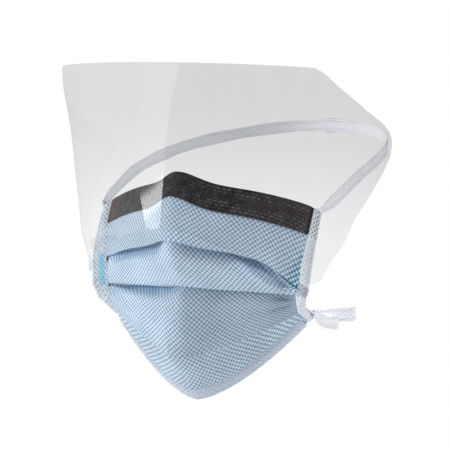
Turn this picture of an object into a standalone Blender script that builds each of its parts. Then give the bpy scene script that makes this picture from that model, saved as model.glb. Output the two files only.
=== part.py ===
# Tie-on surgical face mask with a clear wraparound eye shield, in the form it takes when worn.
# Metres, +Z up. The mask faces -Y and the wearer's left is +X. The origin is the middle of the
# mask's top edge, where it sits on the bridge of the nose.

import math
from typing import NamedTuple

import bmesh
import bpy
import numpy as np

# Driving dimensions of the cloth body
HALF_WIDTH = 0.0735
OPEN_HEIGHT = 0.131
SIDE_DROP = 0.0190
SIDE_LENGTH = 0.0610
SIDE_SETBACK = 0.041
NOSE_REACH = 0.0105
CHIN_SETBACK = 0.030
NOSE_HUMP = 0.0065
NOSE_HUMP_WIDTH = 0.014
CLOTH = 0.0012
PLEAT_LIP = 0.0010
PLEAT_OPENING = 0.0007
PLEAT_DEPTH = 0.0035
PRESSED_SHARE = 0.45

# Driving dimensions of the trim
STRIP_HEIGHT = 0.0140
STRIP_CLOTH = 0.0008
BINDING_WIDTH = 0.0056
BINDING_CLOTH = 0.0009
HEM_BINDING_WIDTH = 0.0062
TIE_WIDTH = 0.0080
TIE_CLOTH = 0.0010

# Driving dimensions of the head loop and the neck loop
CROWN_HALF_BREADTH = 0.0755
CROWN_BACK = 0.184
CROWN_RISE = 0.054
NAPE_HALF_BREADTH = 0.0520
NAPE_BACK = 0.145
NAPE_FALL = 0.009
KNOT_WIDTH = 0.013
KNOT_HEIGHT = 0.010
KNOT_DEPTH = 0.007
BOW_REACH = 0.040
BOW_HEIGHT = 0.014
BOW_STANDOFF = 0.006

# Driving dimensions of the eye shield
SHIELD_FILM = 0.0005
SHIELD_AXIS_BACK = 0.0555
SHIELD_RADIUS = 0.0905
SHIELD_FLARE = 0.138
SHIELD_TOP = 0.0595
SHIELD_FOOT = 0.0610
WING_FLARE = 0.003
WING_ANGLE = math.radians(107.5)
FOOT_ANGLE = math.radians(70)
EDGE_TURN = math.radians(5)

# Clearance between pieces that touch
GAP = 0.0003

# How finely the curved pieces are divided
BODY_COLUMNS = 50
STRIP_COLUMNS = 40
PANEL_STEPS = 4
BINDING_STEPS = 22
TIE_STEPS = 56
BOW_STEPS = 24
SHIELD_COLUMNS = 66
SHIELD_STEPS = 7


class Row(NamedTuple):
    """One line across the cloth body, from edge to edge, as shares of the named sizes."""

    name: str
    mid_down: float  # share of OPEN_HEIGHT, at the middle
    mid_back: float  # share of SIDE_SETBACK, at the middle
    end_down: float  # share of SIDE_LENGTH, below the top corner
    end_back: float  # share of SIDE_SETBACK
    end_out: float  # share of HALF_WIDTH
    left_sag: float  # share of SIDE_LENGTH that the wearer's left end hangs lower
    hump: float  # share of NOSE_HUMP
    fall: float  # power of the drop towards the side
    ridge: float  # roundness of the middle ridge, share of the half width
    lip: float  # share of PLEAT_LIP that stands proud, 0 where no pleat is


STRIP_SHARE = STRIP_HEIGHT / OPEN_HEIGHT
REACH_SHARE = NOSE_REACH / SIDE_SETBACK
CHIN_SHARE = CHIN_SETBACK / SIDE_SETBACK

ROWS = (
    Row("top_edge", 0.0, 0.0, 0.0, 1.0, 1.0, 0.0, 1.0, 2.2, 0.05, 0.0),
    Row("strip_edge", STRIP_SHARE, -0.55 * REACH_SHARE, 0.25, 0.85, 1.0, 0.01, 1.1, 2.2, 0.08, 0.0),
    Row("first_pleat", 0.295, -REACH_SHARE, 0.58, 0.70, 1.0, 0.06, 0.6, 2.4, 0.14, 1.0),
    Row("second_pleat", 0.497, 0.14, 0.80, 0.67, 0.985, 0.0, 0.15, 3.0, 0.22, 0.9),
    Row("chin_crease", 0.815, 0.25, 0.93, 0.76, 0.96, 0.0, 0.0, 1.35, 0.22, 0.0),
    Row("hem", 1.0, CHIN_SHARE, 1.0, 1.0, 0.93, 0.0, 0.0, 1.5, 0.30, 0.0),
)


class Fold(NamedTuple):
    """A soft crease pressed into the cloth, from one place to another on its sheet."""

    start_across: float  # -1 at the wearer's right edge, 1 at the left edge
    start_down: float  # 0 at the top edge, 1 at the hem, counted along the middle line
    end_across: float
    end_down: float
    height: float  # metres that the crest stands out of the sheet, negative for a valley
    width: float  # half width, in the same units as start_across


FOLDS = (
    Fold(0.30, 0.16, 0.80, 0.30, 0.0016, 0.12),
    Fold(0.00, 0.52, -0.20, 0.80, 0.0030, 0.22),
    Fold(-0.25, 0.62, -0.80, 0.60, 0.0014, 0.14),
    Fold(0.20, 0.66, 0.72, 0.58, -0.0012, 0.16),
)


class Corner(NamedTuple):
    """One point of the eye shield's upper or lower outline, from straight ahead to a wing's tip."""

    angle: float  # share of WING_ANGLE
    height: float  # share of SHIELD_TOP above the nose, or of SHIELD_FOOT below it


UPPER_OUTLINE = (
    Corner(0.000, 1.000),
    Corner(0.490, 1.000),
    Corner(0.520, 0.965),
    Corner(0.577, 0.857),
    Corner(0.642, 0.756),
    Corner(0.726, 0.639),
    Corner(0.837, 0.538),
    Corner(0.930, 0.454),
    Corner(0.980, 0.385),
    Corner(1.000, 0.325),
)
LOWER_OUTLINE = (
    Corner(0.000, 0.535),
    Corner(0.093, 0.555),
    Corner(0.149, 0.590),
    Corner(0.195, 0.640),
    Corner(0.250, 0.680),
    Corner(0.326, 0.735),
    Corner(0.410, 0.820),
    Corner(0.500, 0.900),
    Corner(0.558, 0.945),
    Corner(0.640, 1.000),
    Corner(0.690, 0.960),
    Corner(0.718, 0.800),
    Corner(0.790, 0.377),
    Corner(0.885, 0.098),
    Corner(0.970, -0.110),
    Corner(1.000, -0.200),
)


class Stop(NamedTuple):
    """One point of a tie's route on the wearer's left, mirrored for the other side."""

    out: float  # share of the loop's half breadth
    back: float  # share of the way from the mask's corner to the loop's back
    along: float  # share of the loop's rise or fall


CROWN_ROUTE = (
    Stop(1.000, 0.10, 0.14),
    Stop(1.015, 0.26, 0.37),
    Stop(0.990, 0.45, 0.56),
    Stop(0.890, 0.65, 0.73),
    Stop(0.670, 0.84, 0.87),
    Stop(0.360, 0.965, 0.97),
    Stop(0.000, 1.000, 1.00),
)
NAPE_ROUTE = (
    Stop(1.280, 0.10, 0.30),
    Stop(1.140, 0.30, 0.65),
    Stop(1.010, 0.52, 0.90),
    Stop(0.860, 0.75, 1.00),
    Stop(0.560, 0.93, 1.00),
    Stop(0.000, 1.000, 1.00),
)

for leftover in list(bpy.data.objects):
    bpy.data.objects.remove(leftover, do_unlink=True)


def clear_film(name, colour, roughness):
    """A see-through film finish."""
    material = fabric(name, colour, roughness)
    shader = material.node_tree.nodes["Principled BSDF"]
    shader.inputs["Transmission Weight"].default_value = 1.0
    shader.inputs["Alpha"].default_value = 0.35
    return material


def fabric(name, colour, roughness):
    """A plain dry finish of one colour."""
    material = bpy.data.materials.new(name)
    material.use_nodes = True
    shader = material.node_tree.nodes["Principled BSDF"]
    shader.inputs["Base Color"].default_value = (*colour, 1.0)
    shader.inputs["Roughness"].default_value = roughness
    shader.inputs["Metallic"].default_value = 0.0
    return material


def loft(name, sections, material):
    """A solid through equal rings of points, capped at both ends."""
    form = bmesh.new()
    rings = [[form.verts.new(tuple(point)) for point in ring] for ring in sections]
    count = len(rings[0])
    for near, far in zip(rings, rings[1:]):
        for i in range(count):
            j = (i + 1) % count
            form.faces.new((near[i], near[j], far[j], far[i]))
    cap(form, rings[0])
    cap(form, rings[-1])
    bmesh.ops.recalc_face_normals(form, faces=form.faces)
    mesh = bpy.data.meshes.new(name)
    form.to_mesh(mesh)
    form.free()
    mesh.materials.append(material)
    mesh.shade_smooth()
    mesh.set_sharp_from_angle(angle=math.radians(40))
    piece = bpy.data.objects.new(name, mesh)
    bpy.context.scene.collection.objects.link(piece)
    return piece


def cap(form, ring):
    """Closes a ring made of an outer run and an equal inner run with quads between the two."""
    count = len(ring)
    half = count // 2
    for i in range(half - 1):
        form.faces.new((ring[i], ring[i + 1], ring[count - 2 - i], ring[count - 1 - i]))


def smooth_step(value):
    """0 below 0, 1 above 1 and a smooth turn between."""
    value = min(max(value, 0.0), 1.0)
    return value * value * (3 - 2 * value)


def rounded_slope(across, ridge):
    """0 at the middle and 1 at the side, straight but for a round ridge in the middle."""
    return (math.hypot(across, ridge) - ridge) / (math.hypot(1.0, ridge) - ridge)


def row_point(row, across):
    """A point of one row; across runs from -1 to 1."""
    side = abs(across)
    out = row.end_out * HALF_WIDTH * across
    nose = 1 - math.exp(-((out / NOSE_HUMP_WIDTH) ** 2))
    hump = row.hump * NOSE_HUMP * nose
    mid_down = row.mid_down * OPEN_HEIGHT
    sag = row.left_sag * smooth_step(across)
    end_down = SIDE_DROP + (row.end_down + sag) * SIDE_LENGTH
    down = mid_down + hump + (end_down - mid_down - hump) * side**row.fall
    mid_back = row.mid_back * SIDE_SETBACK
    slope = rounded_slope(side, row.ridge)
    back = mid_back + (row.end_back * SIDE_SETBACK - mid_back) * slope
    return np.array((out, back, -down))


def crease(across, down):
    """How far the folds lift the sheet at one place."""
    lift = 0.0
    for fold in FOLDS:
        along = np.array((fold.end_across - fold.start_across, fold.end_down - fold.start_down))
        place = np.array((across - fold.start_across, down - fold.start_down))
        share = float(np.clip(place @ along / (along @ along), 0, 1))
        distance = float(np.linalg.norm((place - share * along) * (1.0, 1.6)))
        fade = math.sin(math.pi * (0.15 + 0.7 * share))
        lift += fold.height * fade * math.exp(-((distance / fold.width) ** 2))
    return lift


def sheet_point(first, second, share, across):
    """A point of the panel between two rows, before its wall is made."""
    place = row_point(first, across) * (1 - share) + row_point(second, across) * share
    down = first.mid_down * (1 - share) + second.mid_down * share
    edge = smooth_step((1 - abs(across)) / 0.18)
    lift = crease(across, down) * edge * math.sin(math.pi * share) ** 0.6
    return place - np.array((0, lift, 0))


def inward(places):
    """Unit directions from the cloth towards the face, for a grid of points."""
    down = np.gradient(places, axis=0)
    across = np.gradient(places, axis=1)
    normals = np.cross(across, down)
    return normals / np.linalg.norm(normals, axis=2, keepdims=True)


def pressed(across):
    """How much of a pleat's full thickness is left: less where the side bonds press it flat."""
    return PRESSED_SHARE + (1 - PRESSED_SHARE) * smooth_step((1 - abs(across)) / 0.22)


def body_grid(acrosses):
    """The cloth body's outer sheet: a grid of points and their rows, top to hem."""
    lines = [(ROWS[0], ROWS[1], 0.0)]
    for first, second in zip(ROWS, ROWS[1:]):
        lines += [(first, second, step / PANEL_STEPS) for step in range(1, PANEL_STEPS + 1)]
    places = np.array([[sheet_point(*line, across) for across in acrosses] for line in lines])
    pleats = [second.lip if share == 1 else 0.0 for _, second, share in lines]
    return places, inward(places), pleats


def body_layers(pleats, acrosses):
    """How deep the outer face lies below the sheet, and the cloth's whole depth, line by line."""
    sunk = np.zeros((len(pleats), len(acrosses)))
    depth = np.full((len(pleats), len(acrosses)), CLOTH)
    for i, pleat in enumerate(pleats):
        if not pleat:
            continue
        layers = np.array([pleat * pressed(across) for across in acrosses])
        for step in range(PANEL_STEPS):
            settled = 1 - step / PANEL_STEPS
            sunk[i + step] = layers * (PLEAT_LIP + PLEAT_OPENING) * settled
            depth[i + step] = CLOTH + sunk[i + step]
    return sunk, depth


def body_section(places, normals, pleats, sunk, depth, across):
    """One closed section of the cloth body: down its outside, then up its inside."""
    outer = []
    inner = []
    inside = [place + normal * deep for place, normal, deep in zip(places, normals, depth)]
    for i, pleat in enumerate(pleats):
        inner.append(inside[i])
        if not pleat:
            outer.append(places[i] + normals[i] * sunk[i])
            continue
        lip = normals[i] * pleat * pressed(across) * PLEAT_LIP
        floor = normals[i] * sunk[i]
        upwards = unit(places[i - 1] - places[i]) * PLEAT_DEPTH
        outer.append(places[i])
        for shift in (lip, lip + upwards, floor + upwards, floor):
            outer.append(places[i] + shift)
        for share in (0.1, 0.2, 0.3, 0.4):
            inner.append(inside[i] * (1 - share) + inside[i + 1] * share)
    return outer + inner[::-1]


def make_body(material):
    """The pleated cloth body: a hollow shell, open towards the face."""
    acrosses = np.linspace(-1, 1, BODY_COLUMNS + 1)
    places, normals, pleats = body_grid(acrosses)
    sunk, depth = body_layers(pleats, acrosses)
    sections = []
    for i, across in enumerate(acrosses):
        line = (places[:, i], normals[:, i], pleats, sunk[:, i], depth[:, i], across)
        sections.append(body_section(*line))
    return loft("mask_body", sections, material)


def make_strip(material):
    """The strip over the body's top edge, ending short of the side bindings."""
    reach = 1 - (BINDING_WIDTH + BINDING_CLOTH + 2 * GAP) / HALF_WIDTH
    acrosses = np.linspace(-reach, reach, STRIP_COLUMNS + 1)
    places, normals, _ = body_grid(acrosses)
    rows = PANEL_STEPS + 1
    sections = []
    for column in range(len(acrosses)):
        under = [places[i, column] - normals[i, column] * GAP for i in range(rows)]
        over = [places[i, column] - normals[i, column] * (GAP + STRIP_CLOTH) for i in range(rows)]
        sections.append(over + under[::-1])
    return loft("glare_strip", sections, material)


def folded_over(edge, inside, normal, width, wall):
    """A binding's section, folded over a cloth edge; inside points from the edge into the cloth."""
    near = -GAP
    skin = GAP + BINDING_CLOTH

    def at(reach, depth):
        return edge + inside * reach + normal * depth

    outer = [at(width, -skin), at(-skin, -skin), at(-skin, wall + skin), at(width, wall + skin)]
    inner = [at(width, near), at(near, near), at(near, wall + GAP), at(width, wall + GAP)]
    return outer + inner[::-1]


def unit(vector):
    """The vector at length one."""
    return vector / np.linalg.norm(vector)


def edge_frames(side):
    """Points, directions into the cloth and inward normals along one side edge, top to bottom."""
    places, normals, _ = body_grid(sorted((0.93 * side, 1.0 * side)))
    last = 1 if side > 0 else 0
    edge = places[:, last]
    inside = places[:, 1 - last] - edge
    steps = np.linspace(0, len(edge) - 1, BINDING_STEPS + 1)
    index = np.arange(len(edge))

    def spread(values):
        return np.array([[np.interp(step, index, values[:, axis]) for axis in range(3)] for step in steps])

    return spread(edge), spread(inside), spread(normals[:, last])


def side_binding_sections(side):
    """The sections of the binding folded over one pleated side edge, top to bottom."""
    wall = CLOTH + PRESSED_SHARE * (PLEAT_LIP + PLEAT_OPENING)
    sections = []
    for edge, inside, normal in zip(*edge_frames(side)):
        normal = unit(normal)
        inside = unit(inside - normal * (inside @ normal))
        sections.append(folded_over(edge, inside, normal, BINDING_WIDTH, wall))
    return sections


def climb(places, normals, depth, distance):
    """The place, inward direction and cloth depth at a distance up the sheet from the hem."""
    places = places[::-1]
    runs = np.linalg.norm(np.diff(places, axis=0), axis=1)
    lengths = np.concatenate(([0.0], np.cumsum(runs)))

    def read(values):
        return np.interp(distance, lengths, values[::-1])

    place = np.array([np.interp(distance, lengths, places[:, axis]) for axis in range(3)])
    normal = unit(np.array([read(normals[:, axis]) for axis in range(3)]))
    return place, normal, read(depth)


def make_hem_binding(material):
    """The white binding folded over the hem, from one side binding to the other."""
    reach = 1 - (BINDING_WIDTH + 2 * GAP) / (HALF_WIDTH * ROWS[-1].end_out)
    acrosses = np.linspace(-reach, reach, 2 * BINDING_STEPS + 1)
    places, normals, pleats = body_grid(acrosses)
    _, depth = body_layers(pleats, acrosses)
    skin = GAP + BINDING_CLOTH
    sections = []
    for i in range(len(acrosses)):
        column = (places[:, i], normals[:, i], depth[:, i])
        edge, normal, wall = climb(*column, 0.0)
        below = unit(edge - climb(*column, HEM_BINDING_WIDTH / 2)[0])
        faces = []
        for share in (1.0, 0.5):
            place, turned, local = climb(*column, HEM_BINDING_WIDTH * share)
            faces.append((place, turned, max(local, wall)))
        front = [place - turned * skin for place, turned, _ in faces]
        back = [place + turned * (local + skin) for place, turned, local in faces]
        lining_front = [place - turned * GAP for place, turned, _ in faces]
        lining_back = [place + turned * (local + GAP) for place, turned, local in faces]
        outer = [*front, edge + below * skin - normal * skin]
        outer += [edge + below * skin + normal * (wall + skin), *back[::-1]]
        inner = [*lining_front, edge + below * GAP - normal * GAP]
        inner += [edge + below * GAP + normal * (wall + GAP), *lining_back[::-1]]
        sections.append(outer + inner[::-1])
    return loft("bottom_binding", sections, material)


def smooth_route(stops, count):
    """Evenly numbered points on one smooth curve through the stops."""
    stops = [2 * stops[0] - stops[1], *stops, 2 * stops[-1] - stops[-2]]
    places = []
    for step in range(count + 1):
        place = step / count * (len(stops) - 3)
        first = min(int(place), len(stops) - 4)
        share = place - first
        a, b, c, d = stops[first : first + 4]
        bend = (2 * a - 5 * b + 4 * c - d) * share**2 + (3 * b - a - 3 * c + d) * share**3
        places.append(0.5 * (2 * b + (c - a) * share + bend))
    return places


def tie_route(corner, route, half_breadth, back, rise):
    """The whole loop of a tie, from the corner on the wearer's left round to the other corner."""
    left = []
    for stop in route:
        out = half_breadth * stop.out
        behind = corner[1] + (back - corner[1]) * stop.back
        left.append(np.array((out, behind, corner[2] + rise * stop.along)))
    way = unit(left[0] - corner)
    clear = unit(way * (1, 1, 0)) * abs(way[2]) * TIE_WIDTH / 2
    left.insert(0, corner + clear)
    mirror = np.array((-1, 1, 1))
    right = [point * mirror for point in left[-2::-1]]
    return smooth_route(left + right, TIE_STEPS)


def band_sections(places, width, cloth):
    """Flat band sections along a route, the width upright and the thickness outwards."""
    places = np.array(places)
    ways = np.gradient(places, axis=0)
    sections = []
    for place, way in zip(places, ways):
        way = unit(way)
        outwards = unit(np.cross(way, (0, 0, 1)))
        upwards = np.cross(outwards, way) * width / 2
        skin = outwards * cloth
        sections.append([place + upwards, place - upwards, place - upwards + skin, place + upwards + skin])
    return sections


def tie_start(row, clear, rise):
    """Where a tie leaves the side binding's outer edge, on the wearer's left."""
    edge = row_point(row, 1.0)
    outwards = unit((edge - row_point(row, 0.93)) * (1, 1, 0))
    return edge + outwards * (BINDING_CLOTH + clear) + np.array((0, 0, rise))


def make_tie(name, corner, route, half_breadth, back, rise, material):
    """One flat tie as a whole loop from corner to corner."""
    places = tie_route(corner, route, half_breadth, back, rise)
    return loft(name, band_sections(places, TIE_WIDTH, TIE_CLOTH), material)


def rounded_block(width, depth, height, rounding):
    """The outline of a soft-edged block seen from above, with its height, as lofted rings."""
    rings = []
    for share in (0.0, 0.12, 0.5, 0.88, 1.0):
        pull = rounding * (1 - math.sin(math.pi * (0.2 + 0.6 * share)))
        ring = []
        for quarter in range(12):
            angle = math.tau * quarter / 12
            x = math.copysign(abs(math.cos(angle)) ** 0.6, math.cos(angle)) * (width / 2 - pull)
            y = math.copysign(abs(math.sin(angle)) ** 0.6, math.sin(angle)) * (depth / 2 - pull)
            ring.append(np.array((x, y, height * (share - 0.5))))
        rings.append(ring)
    return rings


def make_knot(name, back, level, material):
    """A plain knot that lies on the outside of a tie at the middle of the back."""
    seat = back + TIE_CLOTH + GAP + KNOT_DEPTH / 2
    rings = rounded_block(KNOT_WIDTH, KNOT_DEPTH, KNOT_HEIGHT, KNOT_DEPTH * 0.18)
    sections = [[point + np.array((0, seat, level)) for point in ring] for ring in rings]
    return loft(name, sections, material)


def make_bow(name, side, level, material):
    """One turned loop of the bow behind the neck: a flat band that goes out and comes back."""
    inner_x = KNOT_WIDTH / 2 + GAP
    middle = NAPE_BACK + TIE_CLOTH + GAP + KNOT_DEPTH / 2
    thick = KNOT_DEPTH * 0.22
    stops = [
        (inner_x, middle - thick, 0.0),
        (inner_x + 0.35 * (BOW_REACH - inner_x), middle - 2 * thick, 0.10),
        (inner_x + 0.75 * (BOW_REACH - inner_x), middle - 2 * thick, 0.20),
        (BOW_REACH, middle + BOW_STANDOFF * 0.3, 0.25),
        (inner_x + 0.78 * (BOW_REACH - inner_x), middle + BOW_STANDOFF, 0.20),
        (inner_x + 0.38 * (BOW_REACH - inner_x), middle + BOW_STANDOFF * 0.8, 0.10),
        (inner_x, middle + thick, 0.0),
    ]
    route = [np.array((side * x, y, level + lift * BOW_HEIGHT)) for x, y, lift in stops]
    places = smooth_route(route if side > 0 else route[::-1], BOW_STEPS)
    return loft(name, band_sections(places, BOW_HEIGHT * 0.62, TIE_CLOTH), material)


def outline_height(outline, angle):
    """The outline's share at an angle from straight ahead."""
    shares = [corner.angle for corner in outline]
    heights = [corner.height for corner in outline]
    return np.interp(abs(angle) / WING_ANGLE, shares, heights)


def shield_edges(angle):
    """The eye shield's lower and upper height; its outline is turned a little to the left."""
    lower_turn = EDGE_TURN * abs(1 - abs(angle) / FOOT_ANGLE)
    lower = -outline_height(LOWER_OUTLINE, angle - lower_turn) * SHIELD_FOOT
    upper = outline_height(UPPER_OUTLINE, angle - EDGE_TURN) * SHIELD_TOP
    return lower, upper


def shield_seat():
    """The distance from the shield's axis at which the film just clears the side bindings."""
    reach = 0.0
    for section in side_binding_sections(1):
        for point in section:
            if -SHIELD_FOOT - TIE_WIDTH / 2 < point[2] < -SHIELD_FOOT * 0.6:
                reach = max(reach, math.hypot(point[0], point[1] - SHIELD_AXIS_BACK))
    return reach + GAP


def shield_radius(angle, height, seat):
    """The film's distance from its upright axis: a cone, drawn in to the bindings at its foot."""
    cone = SHIELD_RADIUS + SHIELD_FLARE * height + WING_FLARE * (abs(angle) / WING_ANGLE) ** 4
    drawn_in = smooth_step((-height - 0.6 * SHIELD_FOOT) / (0.34 * SHIELD_FOOT))
    return cone + (seat - cone) * drawn_in


def make_shield(material):
    """The clear film round the front and both sides, held at its foot on the side bindings."""
    angles = EDGE_TURN + WING_ANGLE * np.linspace(-1, 1, SHIELD_COLUMNS + 1)
    seat = shield_seat()
    sections = []
    for angle in angles:
        lower, upper = shield_edges(angle)
        outer = []
        inner = []
        for height in np.linspace(lower, upper, SHIELD_STEPS + 1):
            radius = shield_radius(angle, height, seat)
            way = np.array((math.sin(angle), -math.cos(angle), 0))
            axis = np.array((0, SHIELD_AXIS_BACK, height))
            inner.append(axis + way * radius)
            outer.append(axis + way * (radius + SHIELD_FILM))
        sections.append(outer + inner[::-1])
    return loft("visor", sections, material)


def main():
    """Builds every piece of the mask."""
    cloth = fabric("blue_cloth", (0.45, 0.66, 0.78), 0.85)
    charcoal = fabric("charcoal_cloth", (0.03, 0.03, 0.033), 0.7)
    white = fabric("white_binding", (0.78, 0.82, 0.86), 0.8)
    tie = fabric("white_tie", (0.85, 0.86, 0.88), 0.8)
    film = clear_film("clear_film", (0.95, 0.96, 0.97), 0.05)
    make_body(cloth)
    make_strip(charcoal)
    loft("side_binding_left", side_binding_sections(1), white)
    loft("side_binding_right", side_binding_sections(-1), white)
    make_hem_binding(white)
    crown_corner = tie_start(ROWS[0], 3 * GAP, -0.4 * TIE_WIDTH)
    nape_corner = tie_start(ROWS[-1], GAP, 0.15 * TIE_WIDTH)
    make_tie("crown_tie", crown_corner, CROWN_ROUTE, CROWN_HALF_BREADTH, CROWN_BACK, CROWN_RISE, tie)
    make_tie("nape_tie", nape_corner, NAPE_ROUTE, NAPE_HALF_BREADTH, NAPE_BACK, -NAPE_FALL, tie)
    make_knot("crown_knot", CROWN_BACK, crown_corner[2] + CROWN_RISE, tie)
    nape_level = nape_corner[2] - NAPE_FALL
    make_knot("nape_knot", NAPE_BACK, nape_level, tie)
    make_bow("nape_bow_left", 1, nape_level, tie)
    make_bow("nape_bow_right", -1, nape_level, tie)
    make_shield(film)


main()
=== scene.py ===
"""A tie-on surgical face mask with a clear wraparound eye shield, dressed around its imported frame.

Metres, +Z up. The mask faces -Y and the wearer's left is +X. The origin is where the middle of the
mask's top edge sits on the bridge of the nose.
"""

import logging
import math
from collections.abc import Sequence
from dataclasses import dataclass
from enum import Enum
from functools import partial, reduce
from typing import NamedTuple

import bmesh
import bpy
import numpy as np
from mathutils import Matrix, Vector


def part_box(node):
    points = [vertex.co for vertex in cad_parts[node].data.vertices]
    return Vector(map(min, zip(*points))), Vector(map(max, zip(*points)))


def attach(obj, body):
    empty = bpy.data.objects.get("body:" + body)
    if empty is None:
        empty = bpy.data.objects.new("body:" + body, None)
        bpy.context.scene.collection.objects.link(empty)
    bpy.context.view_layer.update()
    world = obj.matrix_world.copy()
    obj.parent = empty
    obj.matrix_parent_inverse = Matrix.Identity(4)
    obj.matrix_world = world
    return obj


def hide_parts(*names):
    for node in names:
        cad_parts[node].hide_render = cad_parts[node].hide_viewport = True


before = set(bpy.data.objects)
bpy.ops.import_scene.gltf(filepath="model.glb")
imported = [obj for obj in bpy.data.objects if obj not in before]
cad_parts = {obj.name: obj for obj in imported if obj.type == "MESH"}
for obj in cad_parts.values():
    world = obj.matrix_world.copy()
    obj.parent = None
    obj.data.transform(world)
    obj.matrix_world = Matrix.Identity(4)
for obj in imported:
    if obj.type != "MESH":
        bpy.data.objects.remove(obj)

Array = np.ndarray
Groups = dict[str, bpy.types.NodeTree]
Paint = bpy.types.Material
Piece = bpy.types.Object
Socket = bpy.types.NodeSocket
Triple = tuple[float, float, float]  # a colour, a point or a size
Profile = tuple[tuple[float, ...], tuple[float, ...]]  # places, and the values there

log = logging.getLogger("face_mask")

CLOTH_MAP = "cloth"  # metres along and down the cloth
PLACE_MAP = "place"  # where on the piece, as shares
WHITE = (1.0, 1.0, 1.0)
UP = np.array((0.0, 0.0, 1.0))
GAP = 0.0003  # between pieces that lie on each other
BODY_WALL = 0.0012
TAPE_CLOTH = 0.0009
SIDES = ((1, "left"), (-1, "right"))  # the wearer's
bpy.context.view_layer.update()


def smooth_step(value: Array | float) -> Array:
    """0 below 0, 1 above 1 and a smooth turn between."""
    value = np.clip(value, 0.0, 1.0)
    return value * value * (3 - 2 * value)


def unit(vectors: Array) -> Array:
    """The vectors at length one, along the last axis."""
    return vectors / np.maximum(np.linalg.norm(vectors, axis=-1, keepdims=True), 1e-12)


def run_lengths(places: Array) -> Array:
    """The length along a line of points, from 0 at its first one."""
    steps = np.linalg.norm(np.diff(places, axis=0), axis=-1)
    return np.concatenate((np.zeros((1, *steps.shape[1:])), np.cumsum(steps, axis=0)))


def resampled(values: Array, lengths: Array, wanted: Array) -> Array:
    """Rows of values, known at some growing lengths, read at the wanted lengths."""
    return np.stack([np.interp(wanted, lengths, column) for column in values.T], axis=1)


def smooth_route(stops: Sequence[Array], count: int) -> Array:
    """Points on one smooth curve through the stops.

    Args:
        stops: The points that the curve passes.
        count: How many steps it is cut into.

    Returns:
        count + 1 points.
    """
    stops = [2 * stops[0] - stops[1], *stops, 2 * stops[-1] - stops[-2]]
    places = []
    for step in range(count + 1):
        place = step / count * (len(stops) - 3)
        first = min(int(place), len(stops) - 4)
        share = place - first
        a, b, c, d = stops[first : first + 4]
        bend = (2 * a - 5 * b + 4 * c - d) * share**2 + (3 * b - a - 3 * c + d) * share**3
        places.append(0.5 * (2 * b + (c - a) * share + bend))
    return np.array(places)


class Finish(Enum):
    """The record's material slots, one for each finish."""

    BLUE_CLOTH = "blue_cloth"
    CHARCOAL_CLOTH = "charcoal_cloth"
    WHITE_BINDING = "white_binding"
    WHITE_TIE = "white_tie"
    CLEAR_FILM = "clear_film"


class Graph:
    """Adds shader nodes to one node tree."""

    def __init__(self, tree: bpy.types.NodeTree) -> None:
        """Keeps the tree that the nodes go into."""
        self.tree = tree

    def feed(self, socket: Socket, value: object) -> None:
        """Links a socket to another one, or sets its value; a colour gets its alpha here."""
        if isinstance(value, Socket):
            self.tree.links.new(value, socket)
        else:
            socket.default_value = (*value, 1.0) if socket.type == "RGBA" else value

    def add(self, kind: str, values: dict | None = None, **settings: object) -> bpy.types.Node:
        """Adds one node.

        Args:
            kind: The node's type, without its leading "ShaderNode".
            values: What goes into its sockets, by name or number.
            **settings: The node's own settings.

        Returns:
            The node.
        """
        node = self.tree.nodes.new("ShaderNode" + kind)
        for name, value in settings.items():
            setattr(node, name, value)
        for name, value in (values or {}).items():
            self.feed(node.inputs[name], value)
        return node

    def math(self, operation: str, *values: object) -> Socket:
        """The result of a Math node."""
        return self.add("Math", dict(enumerate(values)), operation=operation).outputs[0]

    def times(self, *values: object) -> Socket:
        """The values' product."""
        return reduce(partial(self.math, "MULTIPLY"), values)

    def most(self, *values: object) -> Socket:
        """The highest of the values."""
        return reduce(partial(self.math, "MAXIMUM"), values)

    def vector(self, operation: str, values: dict) -> Socket:
        """The result of a Vector Math node."""
        return self.add("VectorMath", values, operation=operation).outputs[0]

    def mix(self, factor: object, first: object, second: object, blend: str = "MIX") -> Socket:
        """The colour that has the factor's share of the second one."""
        values = {0: factor, 6: first, 7: second}
        return self.add("Mix", values, data_type="RGBA", blend_type=blend).outputs[2]

    def rise(self, value: object, low: float, high: float, start: float = 0.0, end: float = 1.0) -> Socket:
        """A smooth climb from start to end while the value goes from low to high."""
        values = {"Value": value, "From Min": low, "From Max": high, "To Min": start, "To Max": end}
        return self.add("MapRange", values, interpolation_type="SMOOTHSTEP").outputs["Result"]

    def window(self, value: object, low: float, high: float, soft: float) -> Socket:
        """1 between low and high and 0 outside, over soft edges."""
        fall = self.rise(value, high - soft, high + soft, 1.0, 0.0)
        return self.times(self.rise(value, low - soft, low + soft), fall)

    def noise(self, vector: object, scale: float, detail: float = 2.0, roughness: float = 0.5) -> Socket:
        """A noise value; scale counts its cells in a metre."""
        values = {"Vector": vector, "Scale": scale, "Detail": detail, "Roughness": roughness}
        return self.add("TexNoise", values).outputs["Fac"]

    def stretch(self, vector: object, scale: Triple, turn: float = 0.0) -> Socket:
        """A vector scaled along its axes, after a turn about Z."""
        turned = self.add("Mapping", {"Vector": vector, "Rotation": (0.0, 0.0, turn)})
        return self.add("Mapping", {"Vector": turned.outputs[0], "Scale": scale}).outputs[0]

    def uv(self, name: str) -> Socket:
        """The vector of one of the piece's UV maps."""
        return self.add("UVMap", uv_map=name).outputs["UV"]

    def axes(self, vector: object) -> list[Socket]:
        """The three axes of a vector."""
        return list(self.add("SeparateXYZ", {"Vector": vector}).outputs)

    def level(self) -> Socket:
        """The height in the piece's own space."""
        return self.axes(self.add("TexCoord").outputs["Object"])[2]


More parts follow.
